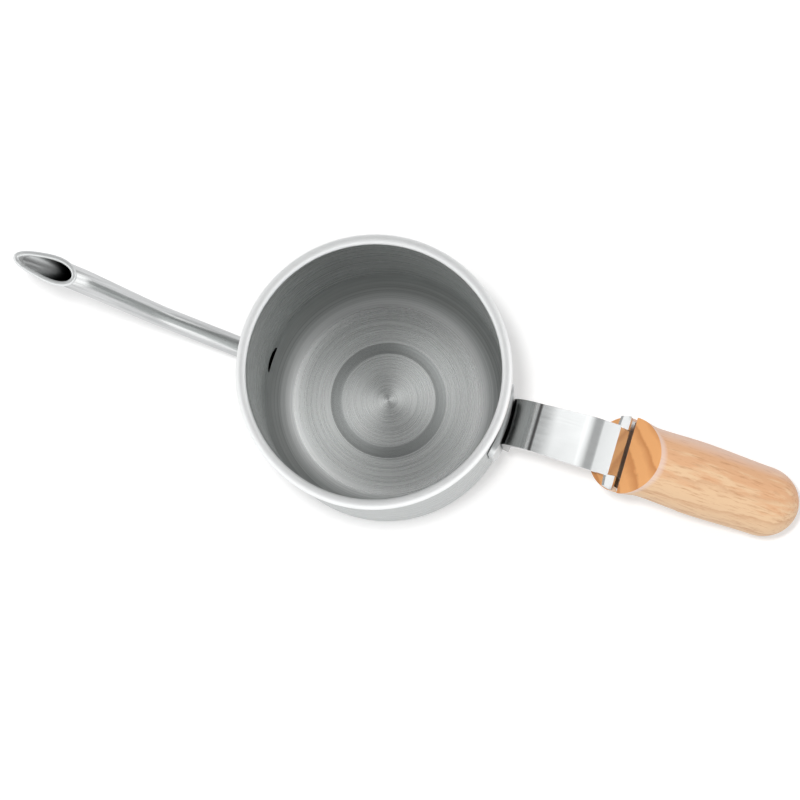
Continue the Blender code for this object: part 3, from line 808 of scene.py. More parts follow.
@dataclass(frozen=True)
class OiledBeech:
    """Beech, turned, sanded and lightly oiled.

    Growth layers show as diagonal bands on the sawn end, where the open grain takes the oil and goes orange,
    and as long streaks and arches along the side, which stays pale and pinkish with short dark pores. A pale
    pink band along the top of the side and beside the sawn end is a painted highlight. A fade is where a mask
    starts and ends, and then its two values.
    """
    origin: Vector
    drop: float
    slant: float
    name: str = "oiled_beech"
    pale: str = "#F2CCA3"
    tan: str = "#E9B488"
    streak: str = "#C4855A"
    end_pale: str = "#F0AE70"
    end_dark: str = "#D48F56"
    # painted highlight: the pale pink band along the top and beside the sawn end
    band: str = "#F4DCD2"
    layer: float = 6.4 * MM
    lean: float = -0.06
    wander: float = 1.1
    pith: Point2 = (-34.0 * MM, -40.0 * MM)
    late_wood: tuple[Point2, Point2] = ((0.45, 0.86), (0.9, 1.0))
    line_share: float = 0.34
    wash_fade: tuple[float, ...] = (0.44, 0.58, 0.0, 0.95)
    fleck_fade: tuple[float, ...] = (0.52, 0.74, 0.0, 0.6)
    sawn_fade: tuple[float, ...] = (0.3 * MM, 0.12 * MM)
    # where the painted highlight lies beside the sawn end and along the top
    end_fade: tuple[float, ...] = (2.6 * MM, 1.2 * MM, 0.0, 0.6)
    top_fade: tuple[float, ...] = (7.6 * MM, 10.8 * MM, 0.0, 0.5)
    roughness: float = 0.48
    pore_depth: float = 0.03 * MM

    def material(self) -> Material:
        """Build the material.

        Returns:
            The material.
        """
        material, add, shader = new_material(self.name)
        place = add("ShaderNodeTexCoord").outputs["Object"]
        own = add("ShaderNodeMapping", {
            "Vector": place, "Location": self.origin, "Rotation": (0, self.drop, 0)}, vector_type="TEXTURE")
        xyz = add("ShaderNodeSeparateXYZ", (own,)).outputs
        layers = self.growth_layers(add, own)
        fibre = self.stretched_noise(add, own, 150.0, 1300.0, 3.0)
        flame = self.stretched_noise(add, own, 50.0, 300.0, 5.0)
        thin = add("ShaderNodeMath", (layers, 3.0), operation="POWER")
        faint = add("ShaderNodeMath", (thin, self.line_share), operation="MULTIPLY")
        upward = add("ShaderNodeMath", (xyz["Y"], 22.0, flame), operation="MULTIPLY_ADD")
        across = add("ShaderNodeMath", (xyz["Z"], -math.sin(self.slant)), operation="MULTIPLY")
        depth = add("ShaderNodeMath", (xyz["X"], math.cos(self.slant), across), operation="MULTIPLY_ADD")
        wash, fleck, at_end, near_end, near_top = (
            add("ShaderNodeMapRange", (value, *fade)) for value, fade in (
                (upward, self.wash_fade), (fibre, self.fleck_fade), (depth, self.sawn_fade),
                (depth, self.end_fade), (xyz["Y"], self.top_fade)))
        # painted highlight: pale pink band along the top and beside the sawn end
        grip_painted_highlight = add("ShaderNodeMath", (near_end, near_top), operation="MAXIMUM")
        end = paint(add, self.end_pale, (layers, self.end_dark))
        fill(shader, {
            "Base Color": paint(add, self.pale, (faint, self.streak), (wash, self.tan), (fleck, self.streak),
                                (grip_painted_highlight, self.band), (at_end, end)),
            "Roughness": add("ShaderNodeMapRange", (
                fibre, 0.3, 0.7, self.roughness - 0.05, self.roughness + 0.1)),
            "Normal": add("ShaderNodeBump", {"Strength": 0.35, "Distance": self.pore_depth, "Height": fibre},
                          invert=True)})
        return material

    def growth_layers(self, add: Adder, place: Node) -> Node:
        """Dark late wood at the end of each year's growth, as distance from a pith that lies beside the grip.

        Args:
            add: Adds a node to the material's tree.
            place: The position in the grip's own frame.

        Returns:
            The share of late wood.
        """
        drift = self.stretched_noise(add, place, 45.0, 60.0, 5.0)
        along = add("ShaderNodeSeparateXYZ", (place,))
        from_pith = add("ShaderNodeVectorMath", (place, (0.0, *self.pith)), operation="SUBTRACT")
        flat = add("ShaderNodeVectorMath", (from_pith, (0, 1, 1)), operation="MULTIPLY")
        reach = add("ShaderNodeVectorMath", (flat,), operation="LENGTH").outputs["Value"]
        leaning = add("ShaderNodeMath", (along, self.lean, reach), operation="MULTIPLY_ADD")
        wandering = add("ShaderNodeMath", (drift, self.wander * self.layer, leaning), operation="MULTIPLY_ADD")
        years = add("ShaderNodeMath", (wandering, 1 / self.layer), operation="MULTIPLY")
        return window(add, add("ShaderNodeMath", (years,), operation="FRACT"), *self.late_wood)

    @staticmethod
    def stretched_noise(add: Adder, place: Node, along: float, across: float, detail: float) -> Node:
        """Noise that is longer along the grain than across it.

        Args:
            add: Adds a node to the material's tree.
            place: The position in the grip's own frame.
            along: Features per metre along the grain.
            across: Features per metre across it.
            detail: The noise's detail.

        Returns:
            The noise.
        """
        mapped = add("ShaderNodeMapping", {"Vector": place, "Scale": (along, across, across)})
        return add("ShaderNodeTexNoise", {"Vector": mapped, "Scale": 1.0, "Detail": detail, "Roughness": 0.6})


# Cup

@dataclass
class CupShell:
    """The drawn cup: a floor with a pressed ring, a round corner, a wall and a rolled rim."""
    height: float = 79.98 * MM
    inner_radius: float = 42.0 * MM
    wall: float = 0.6 * MM
    floor: float = 0.8 * MM
    corner: float = 7.0 * MM
    inner_corner: float = 10.5 * MM
    roll: float = 1.78 * MM
    roll_turn: float = math.radians(290)
    ring_inner: float = 16.3 * MM
    ring_outer: float = 20.1 * MM
    ring_height: float = 0.05 * MM
    ring_slope: float = 1.0 * MM
    steps: int = 192
    corner_steps: int = 12
    roll_steps: int = 24
    stretch: float = 1.6 * MM

    @property
    def outer_radius(self) -> float:
        """The wall's outer radius."""
        return self.inner_radius + self.wall

    def ring_section(self, floor: float) -> list[Point2]:
        """The pressed ring from its inner edge to its outer edge, on a floor at the given height."""
        return [(self.ring_inner, floor), (self.ring_inner + self.ring_slope, floor + self.ring_height),
                (self.ring_outer - self.ring_slope, floor + self.ring_height), (self.ring_outer, floor)]

    def section(self) -> list[Point2]:
        """The whole section: up the inside, round the rolled rim and down the outside.

        Returns:
            Its points, as distance from the axis and height.
        """
        inner_centre = (self.inner_radius - self.inner_corner, self.floor + self.inner_corner)
        outer_centre = (self.outer_radius - self.corner, self.corner)
        roll_centre = (self.inner_radius + self.roll, self.height - self.roll)
        roll_end = math.pi - self.roll_turn
        points = [(0.0, self.floor)] + self.ring_section(self.floor)
        points += arc(inner_centre, self.inner_corner, -math.pi / 2, 0, self.corner_steps)
        points += arc(roll_centre, self.roll, math.pi, roll_end, self.roll_steps)
        points += arc(roll_centre, self.roll - self.wall, roll_end, math.pi, self.roll_steps)
        points += arc(outer_centre, self.corner, 0, -math.pi / 2, self.corner_steps)
        points += list(reversed(self.ring_section(0.0)))
        points.append((0.0, 0.0))
        return finer(points, self.stretch)

    def build(self, turning: NodeTree, hole: Object, steel: Material) -> Object:
        """Turn the cup and cut the spout's hole.

        Args:
            turning: The tree that turns a section.
            hole: The spout's bore as a cutter.
            steel: The cup's finish.

        Returns:
            The cup.
        """
        seed = chain_mesh("cup_section", [(x, 0.0, z) for x, z in self.section()])
        cup = grow("spun_cup", seed, turning, {"Steps": self.steps, "Material": steel})
        combine(cup, hole, Join.CUT)
        return shade(cup)


# Spout

@dataclass(frozen=True)
class SpoutRoute:
    """The spout's centre line in its own upright plane, and the bore along it.

    It runs in a straight leg, a bend up, a second leg that is as long as the mouth's height asks, and a bend
    over to the mouth.
    """
    wall_radius: float = 42.6 * MM
    yaw: float = math.radians(178.0)
    root_height: float = 10.6 * MM
    root_rise: float = math.radians(35.0)
    first_leg: float = 41.8 * MM
    lower_bend: float = 36.0 * MM
    climb: float = math.radians(52.7)
    mouth_height: float = 74.5 * MM
    upper_bend: float = 25.9 * MM
    mouth_rise: float = math.radians(7.4)
    root_taper: float = 13.0 * MM
    root_bore: float = 4.6 * MM
    neck_bore: float = 2.9 * MM
    throat_bore: float = 3.4 * MM
    mouth_bore: float = 3.45 * MM
    wall: float = 0.6 * MM
    cut_tilt: float = math.radians(5.2)
    cut_roll: float = math.radians(6.2)
    cut_depth: float = 2.4 * MM
    margin: float = 10.0 * MM
    step: float = 1.0 * MM
    sides: int = 56
    hole_radius: float = 4.5 * MM
    hole_depth: float = 1.6 * MM
    hole_sides: int = 64
    cup_sides: int = 720
    halvings: int = 30

    @property
    def direction(self) -> Vector:
        """The level direction in which the spout leaves."""
        return Vector((math.cos(self.yaw), math.sin(self.yaw), 0))

    @property
    def last_leg(self) -> float:
        """How far the tube runs on past the last bend before the slanted cut ends it."""
        return (self.mouth_bore + self.wall - self.cut_depth) / math.tan(self.mouth_rise + self.cut_tilt)

    @property
    def stages(self) -> tuple[tuple[float, float, float], ...]:
        """Each leg's or bend's length and its slope at both ends.

        Returns:
            The stages in order.
        """
        bends = (self.lower_bend * (math.cos(self.root_rise) - math.cos(self.climb))
                 + self.upper_bend * (math.cos(self.mouth_rise) - math.cos(self.climb)))
        first = self.first_leg * math.sin(self.root_rise)
        second = (self.mouth_height - self.root_height - first - bends) / math.sin(self.climb)
        return ((self.first_leg, self.root_rise, self.root_rise),
                (self.lower_bend * (self.climb - self.root_rise), self.root_rise, self.climb),
                (second, self.climb, self.climb),
                (self.upper_bend * (self.climb - self.mouth_rise), self.climb, self.mouth_rise),
                (self.last_leg + self.margin, self.mouth_rise, self.mouth_rise))

    def end_of(self, stage: int) -> float:
        """The distance along the spout at which a stage ends."""
        return sum(length for length, *_ in self.stages[:stage + 1])

    def at(self, distance: float) -> tuple[Vector, float]:
        """The centre line at a distance from the wall.

        Args:
            distance: How far along the spout, in metres.

        Returns:
            The point as distance from the cup's axis and height, and the slope.
        """
        here = Vector((self.wall_radius, self.root_height))
        slope = self.root_rise
        for number, (length, start, end) in enumerate(self.stages):
            inside = distance < length or number == len(self.stages) - 1
            part = distance if inside else length
            if start == end:
                slope = start
                here = here + Vector((math.cos(start), math.sin(start))) * part
            else:
                turn = length / (end - start)
                slope = start + part / turn
                chord = Vector((math.sin(slope) - math.sin(start), math.cos(start) - math.cos(slope)))
                here = here + chord * turn
            if inside:
                break
            distance -= length
        return here, slope

    def point(self, distance: float, radius: float, angle: float) -> Vector:
        """A point on a ring round the centre line. Angle 0 is on top.

        Args:
            distance: How far along the spout.
            radius: The ring's radius.
            angle: The angle round the centre line.

        Returns:
            The point.
        """
        place, slope = self.at(distance)
        up = Vector((0, 0, math.cos(slope))) - self.direction * math.sin(slope)
        side = Vector((0, 0, 1)).cross(self.direction)
        centre = self.direction * place.x + Vector((0, 0, place.y))
        return centre + (up * math.cos(angle) + side * math.sin(angle)) * radius

    def bore(self, distance: float) -> float:
        """The bore's radius at a distance: narrowing from the root, narrow, then widening to the mouth.

        Args:
            distance: How far along the spout.

        Returns:
            The radius.
        """
        marks = ((0.0, self.root_bore), (self.root_taper, self.neck_bore), (self.first_leg, self.neck_bore),
                 (self.end_of(2), self.throat_bore), (self.end_of(3), self.mouth_bore))
        for (start, first), (end, second) in pairwise(marks):
            if distance < end:
                share = max(0.0, (distance - start) / (end - start))
                return first + (second - first) * share
        return self.mouth_bore

    def skin(self, distance: float) -> float:
        """The tube's outer radius at a distance."""
        return self.bore(distance) + self.wall

    def hole(self, dark: Material) -> Object:
        """A cutter for the spout's hole in the cup's wall, whose cut face gets a finish painted dark as painted
        shade.
        """
        ends = self.point(-self.hole_depth, 0, 0), self.point(self.margin, 0, 0)
        return dress(rod(self.hole_radius, *ends, self.hole_sides), dark)

    def cup_space(self) -> Object:
        """A cutter that fills the cup out to the wall's outer face."""
        low, high = (Vector((0, 0, z)) for z in (-self.margin, self.mouth_height + self.margin))
        return rod(self.wall_radius, low, high, self.cup_sides)

    def mouth_plane(self) -> Matrix:
        """A frame on the slanted cut: X runs out along the cut and Z points out of the tube.

        Returns:
            The frame.
        """
        place, _ = self.at(self.end_of(3))
        centre = self.direction * place.x + Vector((0, 0, place.y - self.cut_depth))
        turn = Matrix.Rotation(self.yaw, 4, "Z") @ Matrix.Rotation(self.cut_tilt, 4, "Y")
        return Matrix.Translation(centre) @ turn @ Matrix.Rotation(-self.cut_roll, 4, "X")

    def edge(self, steps: int, radius: Callable[[float], float], low: float, high: float,
             outside: Callable[[Vector], bool]) -> list[Vector]:
        """Where lines along the tube's skin pass out of something.

        Args:
            steps: How many lines there are round the tube.
            radius: The skin's radius at a distance.
            low: A distance that is inside.
            high: A distance that is outside.
            outside: Tells whether a point is outside.

        Returns:
            The point of each line.
        """
        points = []
        for i in range(steps):
            near, far = low, high
            for _ in range(self.halvings):
                middle = (near + far) / 2
                found = self.point(middle, radius(middle), math.tau * i / steps)
                near, far = (near, middle) if outside(found) else (middle, far)
            points.append(found)
        return points

    def tube(self, name: str, radius: Callable[[float], float], sweeping: NodeTree, finish: Material) -> Object:
        """A round bar along the whole route.

        Args:
            name: The object's name.
            radius: The bar's radius at a distance.
            sweeping: The tree that sweeps a round section along a path.
            finish: The bar's finish.

        Returns:
            The bar.
        """
        length = self.end_of(4)
        count = round((length + self.margin) / self.step)
        distances = [-self.margin + (length + self.margin) * i / count for i in range(count + 1)]
        return sweep(name, sweeping, [self.point(d, 0, 0) for d in distances], [radius(d) for d in distances],
                     self.sides, finish, closed=False)


@dataclass
class GooseneckSpout:
    """The bent, tapered tube with a rounded lip round its slanted mouth."""
    route: SpoutRoute
    lip: float = 0.88 * MM
    lip_inset: float = 0.1 * MM
    lip_search: float = 7.0 * MM
    lip_sides: int = 18
    lip_steps: int = 150

    def lip_bead(self, sweeping: NodeTree, steel: Material) -> Object:
        """The thick rounded lip that follows the mouth's slanted edge.

        Args:
            sweeping: The tree that sweeps a round section along a path.
            steel: The lip's finish.

        Returns:
            The lip.
        """
        route = self.route
        to_plane = route.mouth_plane().inverted()
        points = route.edge(self.lip_steps, lambda d: route.skin(d) - self.lip_inset,
                            route.end_of(2) - self.lip_search, route.end_of(4), lambda p: (to_plane @ p).z > 0)
        return sweep("mouth_lip", sweeping, points, [self.lip] * self.lip_steps, self.lip_sides, steel)

    def build(self, sweeping: NodeTree, steel: Material, inside: Material, satin: Material) -> Object:
        """Sweep the tube, bore it, cut the mouth and add the lip.

        Args:
            sweeping: The tree that sweeps a round section along a path.
            steel: The spout's finish.
            inside: The bore's finish, painted dark as painted shade inside the tube.
            satin: The lip's finish.

        Returns:
            The spout.
        """
        route = self.route
        spout = route.tube("gooseneck_spout", route.skin, sweeping, steel)
        size = 2 * (route.upper_bend + route.last_leg)
        beyond = block(size, size, route.mouth_plane() @ Matrix.Translation((0, 0, size / 2)))
        for tool in (route.tube("bore", route.bore, sweeping, inside), route.cup_space(), beyond):
            combine(spout, tool, Join.CUT)
        combine(spout, self.lip_bead(sweeping, satin), Join.ADD, Solver.MANIFOLD)
        return shade(spout, 40)


@dataclass
class RootWeld:
    """The weld round the spout's root: one pass of overlapping ripples."""
    route: SpoutRoute
    radius: float = 1.45 * MM
    stand_off: float = 0.35 * MM
    ripple_pitch: float = 0.95 * MM
    ripple_depth: float = 0.16
    steps: int = 360
    sides: int = 20

    def build(self, sweeping: NodeTree, metal: Material) -> Object:
        """Sweep the bead along the seam and cut away what would lie in the wall or in the tube.

        Args:
            sweeping: The tree that sweeps a round section along a path.
            metal: The weld's finish.

        Returns:
            The weld.
        """
        route = self.route
        seam = route.edge(self.steps, lambda d: route.skin(d) + self.stand_off, -route.margin, route.margin,
                          lambda p: math.hypot(p.x, p.y) > route.wall_radius + self.stand_off)
        length = sum((a - b).length for a, b in zip(seam, seam[1:] + seam[:1]))
        pitch = length / round(length / self.ripple_pitch)
        weld = sweep("root_weld", sweeping, seam, [self.radius] * self.steps, self.sides, metal,
                     ripple=(pitch, self.ripple_depth))
        for tool in (route.tube("tube_space", route.skin, sweeping, metal), route.cup_space()):
            combine(weld, tool, Join.CUT)
        return shade(weld, 50)


# Handle

@dataclass
class SaddlePlate:
    """The curved plate between the wall and the strap's foot."""
    inner_radius: float = 42.9 * MM
    thickness: float = 2.0 * MM
    width: float = 26.0 * MM
    height: float = 22.0 * MM
    corner: float = 4.0 * MM
    middle: float = 32.9 * MM
    edge: float = 0.35 * MM
    across: int = 40
    rows: int = 8
    corner_steps: int = 8

    def columns(self) -> list[float]:
        """The places across the plate as arc length round the wall, closer together over its round corners.

        Returns:
            The places in order.
        """
        straight = self.width / 2 - self.corner
        bend = [straight + self.corner * math.sin(math.pi / 2 * i / self.corner_steps)
                for i in range(1, self.corner_steps + 1)]
        middle = [straight * (-1 + 2 * i / self.across) for i in range(self.across + 1)]
        return [-u for u in reversed(bend)] + middle + bend

    def build(self, steel: Material) -> Object:
        """Roll the outline round the wall, give it its thickness and round its edges.

        Args:
            steel: The plate's finish.

        Returns:
            The plate.
        """
        outer = self.inner_radius + self.thickness
        grid = []
        for u in self.columns():
            over = max(0.0, abs(u) - (self.width / 2 - self.corner))
            half = self.height / 2 - self.corner + math.sqrt(max(0.0, self.corner ** 2 - over ** 2))
            angle = math.asin(u / outer)
            grid.append([(outer * math.cos(angle), outer * math.sin(angle),
                          self.middle + half * (-1 + 2 * j / self.rows)) for j in range(self.rows + 1)])
        plate = bend_plate("saddle_plate", grid, self.thickness, True, steel)
        return shade(round_edges(plate, self.edge, 60))


@dataclass
class GripFrame:
    """Where the grip is and how thick it is along its axis."""
    bend: Vector = field(default_factory=lambda: Vector((73.5 * MM, 0, 48.9 * MM)))
    drop: float = math.radians(25.7)
    face_from_bend: float = 13.7 * MM
    slant: float = math.radians(30.0)
    length: float = 65.69 * MM
    mouth_radius: float = 13.2 * MM
    waist_radius: float = 12.0 * MM
    belly_radius: float = 12.5 * MM
    tail_radius: float = 11.9 * MM
    waist_at: float = 8.0 * MM
    belly_at: float = 27.0 * MM
    end_rounding: float = 12.9 * MM

    @property
    def axis(self) -> Vector:
        """The grip's axis, away from the pot."""
        return Vector((math.cos(self.drop), 0, -math.sin(self.drop)))

    @property
    def up(self) -> Vector:
        """Square to the tongue, upwards."""
        return Vector((math.sin(self.drop), 0, math.cos(self.drop)))

    @property
    def face(self) -> Vector:
        """The middle of the grip's slanted end."""
        return self.bend + self.axis * self.face_from_bend

    @property
    def matrix(self) -> Matrix:
        """A frame with X along the axis, Y across the pot and Z square to the tongue."""
        columns = Matrix((self.axis, Vector((0, 1, 0)), self.up)).transposed()
        return Matrix.Translation(self.face) @ columns.to_4x4()

    def radius(self, along: float) -> float:
        """The grip's radius at a distance along its axis from the middle of its slanted end.

        Args:
            along: The distance.

        Returns:
            The radius.
        """
        stations = ((-self.waist_at, self.mouth_radius), (0.0, self.mouth_radius),
                    (self.waist_at, self.waist_radius), (self.belly_at, self.belly_radius),
                    (self.length - self.end_rounding, self.tail_radius))
        if along <= stations[0][0]:
            return stations[0][1]
        for (start, first), (end, second) in pairwise(stations):
            if along <= end:
                ease = (1 - math.cos(math.pi * (along - start) / (end - start))) / 2
                return first + (second - first) * ease
        share = min(1.0, (along - stations[-1][0]) / self.end_rounding)
        return self.tail_radius * math.sqrt(1 - share * share)


@dataclass
class StrapBracket:
    """One strip of plate: a foot curved to the saddle, an arched root, a flat run and a wide tongue."""
    grip: GripFrame
    foot_x: float = 46.2 * MM
    level: float = 48.9 * MM
    thickness: float = 2.0 * MM
    root_width: float = 16.2 * MM
    end_width: float = 17.5 * MM
    foot_length: float = 16.0 * MM
    root_bend: float = 8.0 * MM
    crease: float = math.radians(4.0)
    spring: float = math.radians(2.6)
    spring_run: float = 7.0 * MM
    run: float = 19.3 * MM
    end_bend: float = 14.0 * MM
    shoulder: float = 5.5 * MM
    tongue: float = 24.0 * MM
    dip: float = 1.8 * MM
    flat_ears: float = 2.6 * MM
    ear_step: float = 1.4 * MM
    tightening: float = 1.4
    gap: float = 0.3 * MM
    edge: float = 0.3 * MM
    bend_steps: int = 32
    across: int = 40
    ear_columns: int = 6
    end_steps: int = 16
    foot_rows: int = 6
    run_rows: int = 24
    tongue_rows: int = 12

    def sag(self, x: float) -> float:
        """How far the run lies below its level at a distance past the crease, as it springs up a little."""
        left = max(0.0, 1 - x / self.spring_run)
        return self.spring_run * math.tan(self.spring) * left ** 2 / 2

    def ear_reach(self, along: float) -> float:
        """The half width of the tongue's ears, which end where the sawn face's edge lies right below them.

        Args:
            along: How far the row lies past the middle of the sawn face.

        Returns:
            The half width.
        """
        grip = self.grip
        ahead = along * math.cos(grip.drop) + self.thickness / 2 * math.sin(grip.drop)
        below = ahead / (math.tan(grip.slant) * math.cos(grip.drop) + math.sin(grip.drop))
        reach = min(grip.mouth_radius, math.sqrt(grip.mouth_radius ** 2 - below ** 2)) - self.gap
        return reach if along <= self.flat_ears - self.shoulder + self.gap else reach - self.ear_step

    def across_row(self, half: float) -> list[float]:
        """The places across a row. On rows with ears, the ears and the middle have columns of their own.

        Args:
            half: The row's half width.

        Returns:
            The places in order.
        """
        if half <= self.end_width / 2:
            return [half * (-1 + 2 * j / self.across) for j in range(self.across + 1)]
        inner = self.end_width / 2 - self.gap
        middle = self.across // 2 - self.ear_columns
        right = [inner * j / middle for j in range(1, middle + 1)]
        right += [self.end_width / 2 + (half - self.end_width / 2) * j / (self.ear_columns - 1)
                  for j in range(self.ear_columns)]
        return [-y for y in reversed(right)] + [0.0] + right

    def end_curve(self) -> list[Point2]:
        """The end bend from its start, as distance and drop. It tightens towards the grip.

        Returns:
            The bend's points.
        """
        step = self.end_bend * self.grip.drop / self.end_steps
        along = down = 0.0
        points = []
        for i in range(self.end_steps):
            angle = self.grip.drop * ((i + 0.5) / self.end_steps) ** self.tightening
            along += step * math.cos(angle)
            down += step * math.sin(angle)
            points.append((along, down))
        return points

    def rows(self) -> list[tuple[float, float, float, float, float]]:
        """The middle line: rows of x, z, half width, how much of the wall's curve the strip has, and how far
        past the shoulder the row is.

        Returns:
            The rows from the foot to the tongue's end.
        """
        half_root, half_end = self.root_width / 2, self.end_width / 2
        bend_x = self.foot_x + self.root_bend
        foot_top = self.level - self.root_bend
        rows = [(self.foot_x, foot_top - self.foot_length * (1 - i / self.foot_rows), half_root, 1.0, 0.0)
                for i in range(self.foot_rows + 1)]
        for i in range(1, self.bend_steps + 1):
            angle = math.pi - (math.pi / 2 - self.crease) * i / self.bend_steps
            rows.append((bend_x + self.root_bend * math.cos(angle),
                         foot_top + self.root_bend * math.sin(angle) - self.sag(0) * i / self.bend_steps,
                         half_root, 1.0 - i / self.bend_steps, 0.0))
        rows.append((bend_x, self.level - self.sag(0), half_root, 0.0, 0.0))
        curve = self.end_curve()
        straight = self.run - curve[-1][0] + curve[-1][1] / math.tan(self.grip.drop)
        for i in range(1, self.run_rows + 1):
            share = i / self.run_rows
            past = straight * share
            rows.append((bend_x + past, self.level - self.sag(past), half_root + (half_end - half_root) * share,
                         0.0, 0.0))
        rows += [(bend_x + straight + along, self.level - down, half_end, 0.0, 0.0) for along, down in curve]
        start = -self.shoulder + self.gap
        shares = [i / self.tongue_rows for i in range(self.tongue_rows + 1)]
        ears = [start * (1 - share) for share in shares]
        tongue = [self.tongue * share for share in shares[1:]]
        places = [(-self.shoulder - self.gap, half_end), (-self.shoulder, half_end)]
        places += [(along, self.ear_reach(along)) for along in ears]
        places += [(along, self.grip.radius(along) - self.gap) for along in tongue]
        for along, half in places:
            spot = self.grip.face + self.grip.axis * along
            rows.append((spot.x, spot.z, half, 0.0, min(0.0, along) - start))
        return rows

    def build(self, holes: Sequence[Object], steel: Material) -> Object:
        """Bend the strip, give it its thickness, round its edges and cut the pins' holes.

        Args:
            holes: The pins' holes as cutters.
            steel: The strap's finish.

        Returns:
            The strap.
        """
        grid = []
        ramp = self.shoulder - self.gap
        for x, z, half, curved, past in self.rows():
            line = []
            for y in self.across_row(half):
                around = self.foot_x - math.sqrt(self.foot_x ** 2 - y ** 2)
                flat = 0.0 if abs(y) < self.end_width / 2 else self.flat_ears
                pressed = self.dip * max(0.0, past - flat) / (ramp - flat)
                line.append(Vector((x - around * curved, y, z)) - self.grip.up * pressed)
            grid.append(line)
        strap = bend_plate("strap_bracket", grid, self.thickness, False, steel)
        round_edges(strap, self.edge, 50)
        for hole in holes:
            combine(strap, hole, Join.CUT)
        return shade(strap, 10)


@dataclass
class TurnedGrip:
    """The turned grip with a slanted sawn end, a kerf for the tongue and a rounded tail."""
    grip: GripFrame
    tongue: float = 24.0 * MM
    thickness: float = 2.0 * MM
    dip: float = 1.8 * MM
    gap: float = 0.3 * MM
    kerf_upper_gap: float = 1.1 * MM
    edge: float = 0.35 * MM
    spare: float = 4.0 * MM
    steps: int = 120
    tail_steps: int = 18
    stretch: float = 1.4 * MM

    def section(self) -> list[Point2]:
        """The section, turned about Z with the tail up.

        Returns:
            Its points, as distance from the axis and height.
        """
        grip = self.grip
        start = -grip.mouth_radius * math.tan(grip.slant) - self.spare
        straight_end = grip.length - grip.end_rounding
        points = [(0.0, grip.length)]
        for i in range(1, self.tail_steps + 1):
            angle = math.pi / 2 * i / self.tail_steps
            points.append((grip.tail_radius * math.sin(angle),
                           straight_end + grip.end_rounding * math.cos(angle)))
        count = math.ceil((straight_end - start) / self.stretch)
        for i in range(1, count + 1):
            along = straight_end + (start - straight_end) * i / count
            points.append((grip.radius(along), along))
        points.append((0.0, start))
        return points

    def build(self, turning: NodeTree, holes: Sequence[Object],
              wood: Material) -> Object:
        """Turn the grip, saw its end off at a slant, round that edge, and saw the kerf.

        Args:
            turning: The tree that turns a section.
            holes: The pins' holes as cutters.
            wood: The grip's finish.

        Returns:
            The grip.
        """
        seed = chain_mesh("grip_section", [(x, 0.0, z) for x, z in self.section()])
        grip = grow("beech_grip", seed, turning, {"Steps": self.steps, "Material": wood})
        lay_down = Matrix(((0, 0, 1, 0), (0, 1, 0, 0), (-1, 0, 0, 0), (0, 0, 0, 1)))
        grip.data.transform(self.grip.matrix @ lay_down)
        size = 5 * self.grip.mouth_radius
        slant = (self.grip.matrix @ Matrix.Rotation(self.grip.slant, 4, "Y")
                 @ Matrix.Translation((-size / 2, 0, 0)))
        combine(grip, block(size, size, slant), Join.CUT)
        round_edges(face_outwards(grip), self.edge, 30)
        low = -self.thickness / 2 - self.gap - self.dip
        high = self.thickness / 2 + self.kerf_upper_gap - self.dip
        place = self.grip.matrix @ Matrix.Translation((self.tongue + self.gap - size / 2, 0, (low + high) / 2))
        combine(grip, block(size, high - low, place), Join.CUT)
        for hole in holes:
            combine(grip, hole, Join.CUT)
        return shade(grip, 32)


@dataclass
class BlindPins:
    """Two pins that hold the tongue in the grip, driven in from below."""
    grip: GripFrame
    count: int = 2
    radius: float = 1.5 * MM
    spacing: float = 10.0 * MM
    last_at: float = 18.5 * MM
    tongue_half: float = 1.0 * MM
    above: float = 5.5 * MM
    sink: float = 1.0 * MM
    gap: float = 0.3 * MM
    chamfer: float = 0.25 * MM
    dome: float = 0.12 * MM
    hole_below: float = 8.0 * MM
    stretch: float = 1.0 * MM
    steps: int = 40

    def ends(self, along: float) -> tuple[Vector, Vector]:
        """The lower and the upper end of a pin's axis, at a distance along the grip.

        Args:
            along: The distance.

        Returns:
            Both ends.
        """
        spot = self.grip.face + self.grip.axis * along
        low = spot - self.grip.up * (self.grip.radius(along) - self.sink)
        return low, spot + self.grip.up * (self.tongue_half + self.above)

    @property
    def places(self) -> list[float]:
        """Where the pins are along the grip."""
        return [self.last_at - self.spacing * i for i in reversed(range(self.count))]

    def holes(self) -> list[Object]:
        """The pins' holes as cutters, open below and blind above."""
        up = self.grip.up
        return [rod(self.radius + self.gap, low - up * self.hole_below, high + up * self.gap, self.steps)
                for low, high in map(self.ends, self.places)]

    def build(self, row: NodeTree, steel: Material) -> Object:
        """Turn a pin with a chamfer and a shallow dome, and set the pins in a row.

        Args:
            row: The tree that sets turned pins in a row.
            steel: The pins' finish.

        Returns:
            Both pins as one piece.
        """
        ends = [self.ends(along) for along in self.places]
        shortest = min((high - low).length for low, high in ends)
        section = [(0.0, -self.dome), (self.radius * 0.5, -self.dome * 0.7), (self.radius - self.chamfer, 0.0),
                   (self.radius, self.chamfer), (self.radius, shortest - self.chamfer),
                   (self.radius - self.chamfer, shortest), (0.0, shortest)]
        seed = chain_mesh("pin_section", [(x, 0.0, z + self.dome) for x, z in finer(section, self.stretch)])
        pins = grow("blind_pins", seed, row, {
            "Count": self.count, "Steps": self.steps, "Start": ends[0][0], "Step": ends[1][0] - ends[0][0],
            "Turn": Vector((0.0, self.grip.drop, 0.0)), "Material": steel})
        return shade(pins)


# Studio

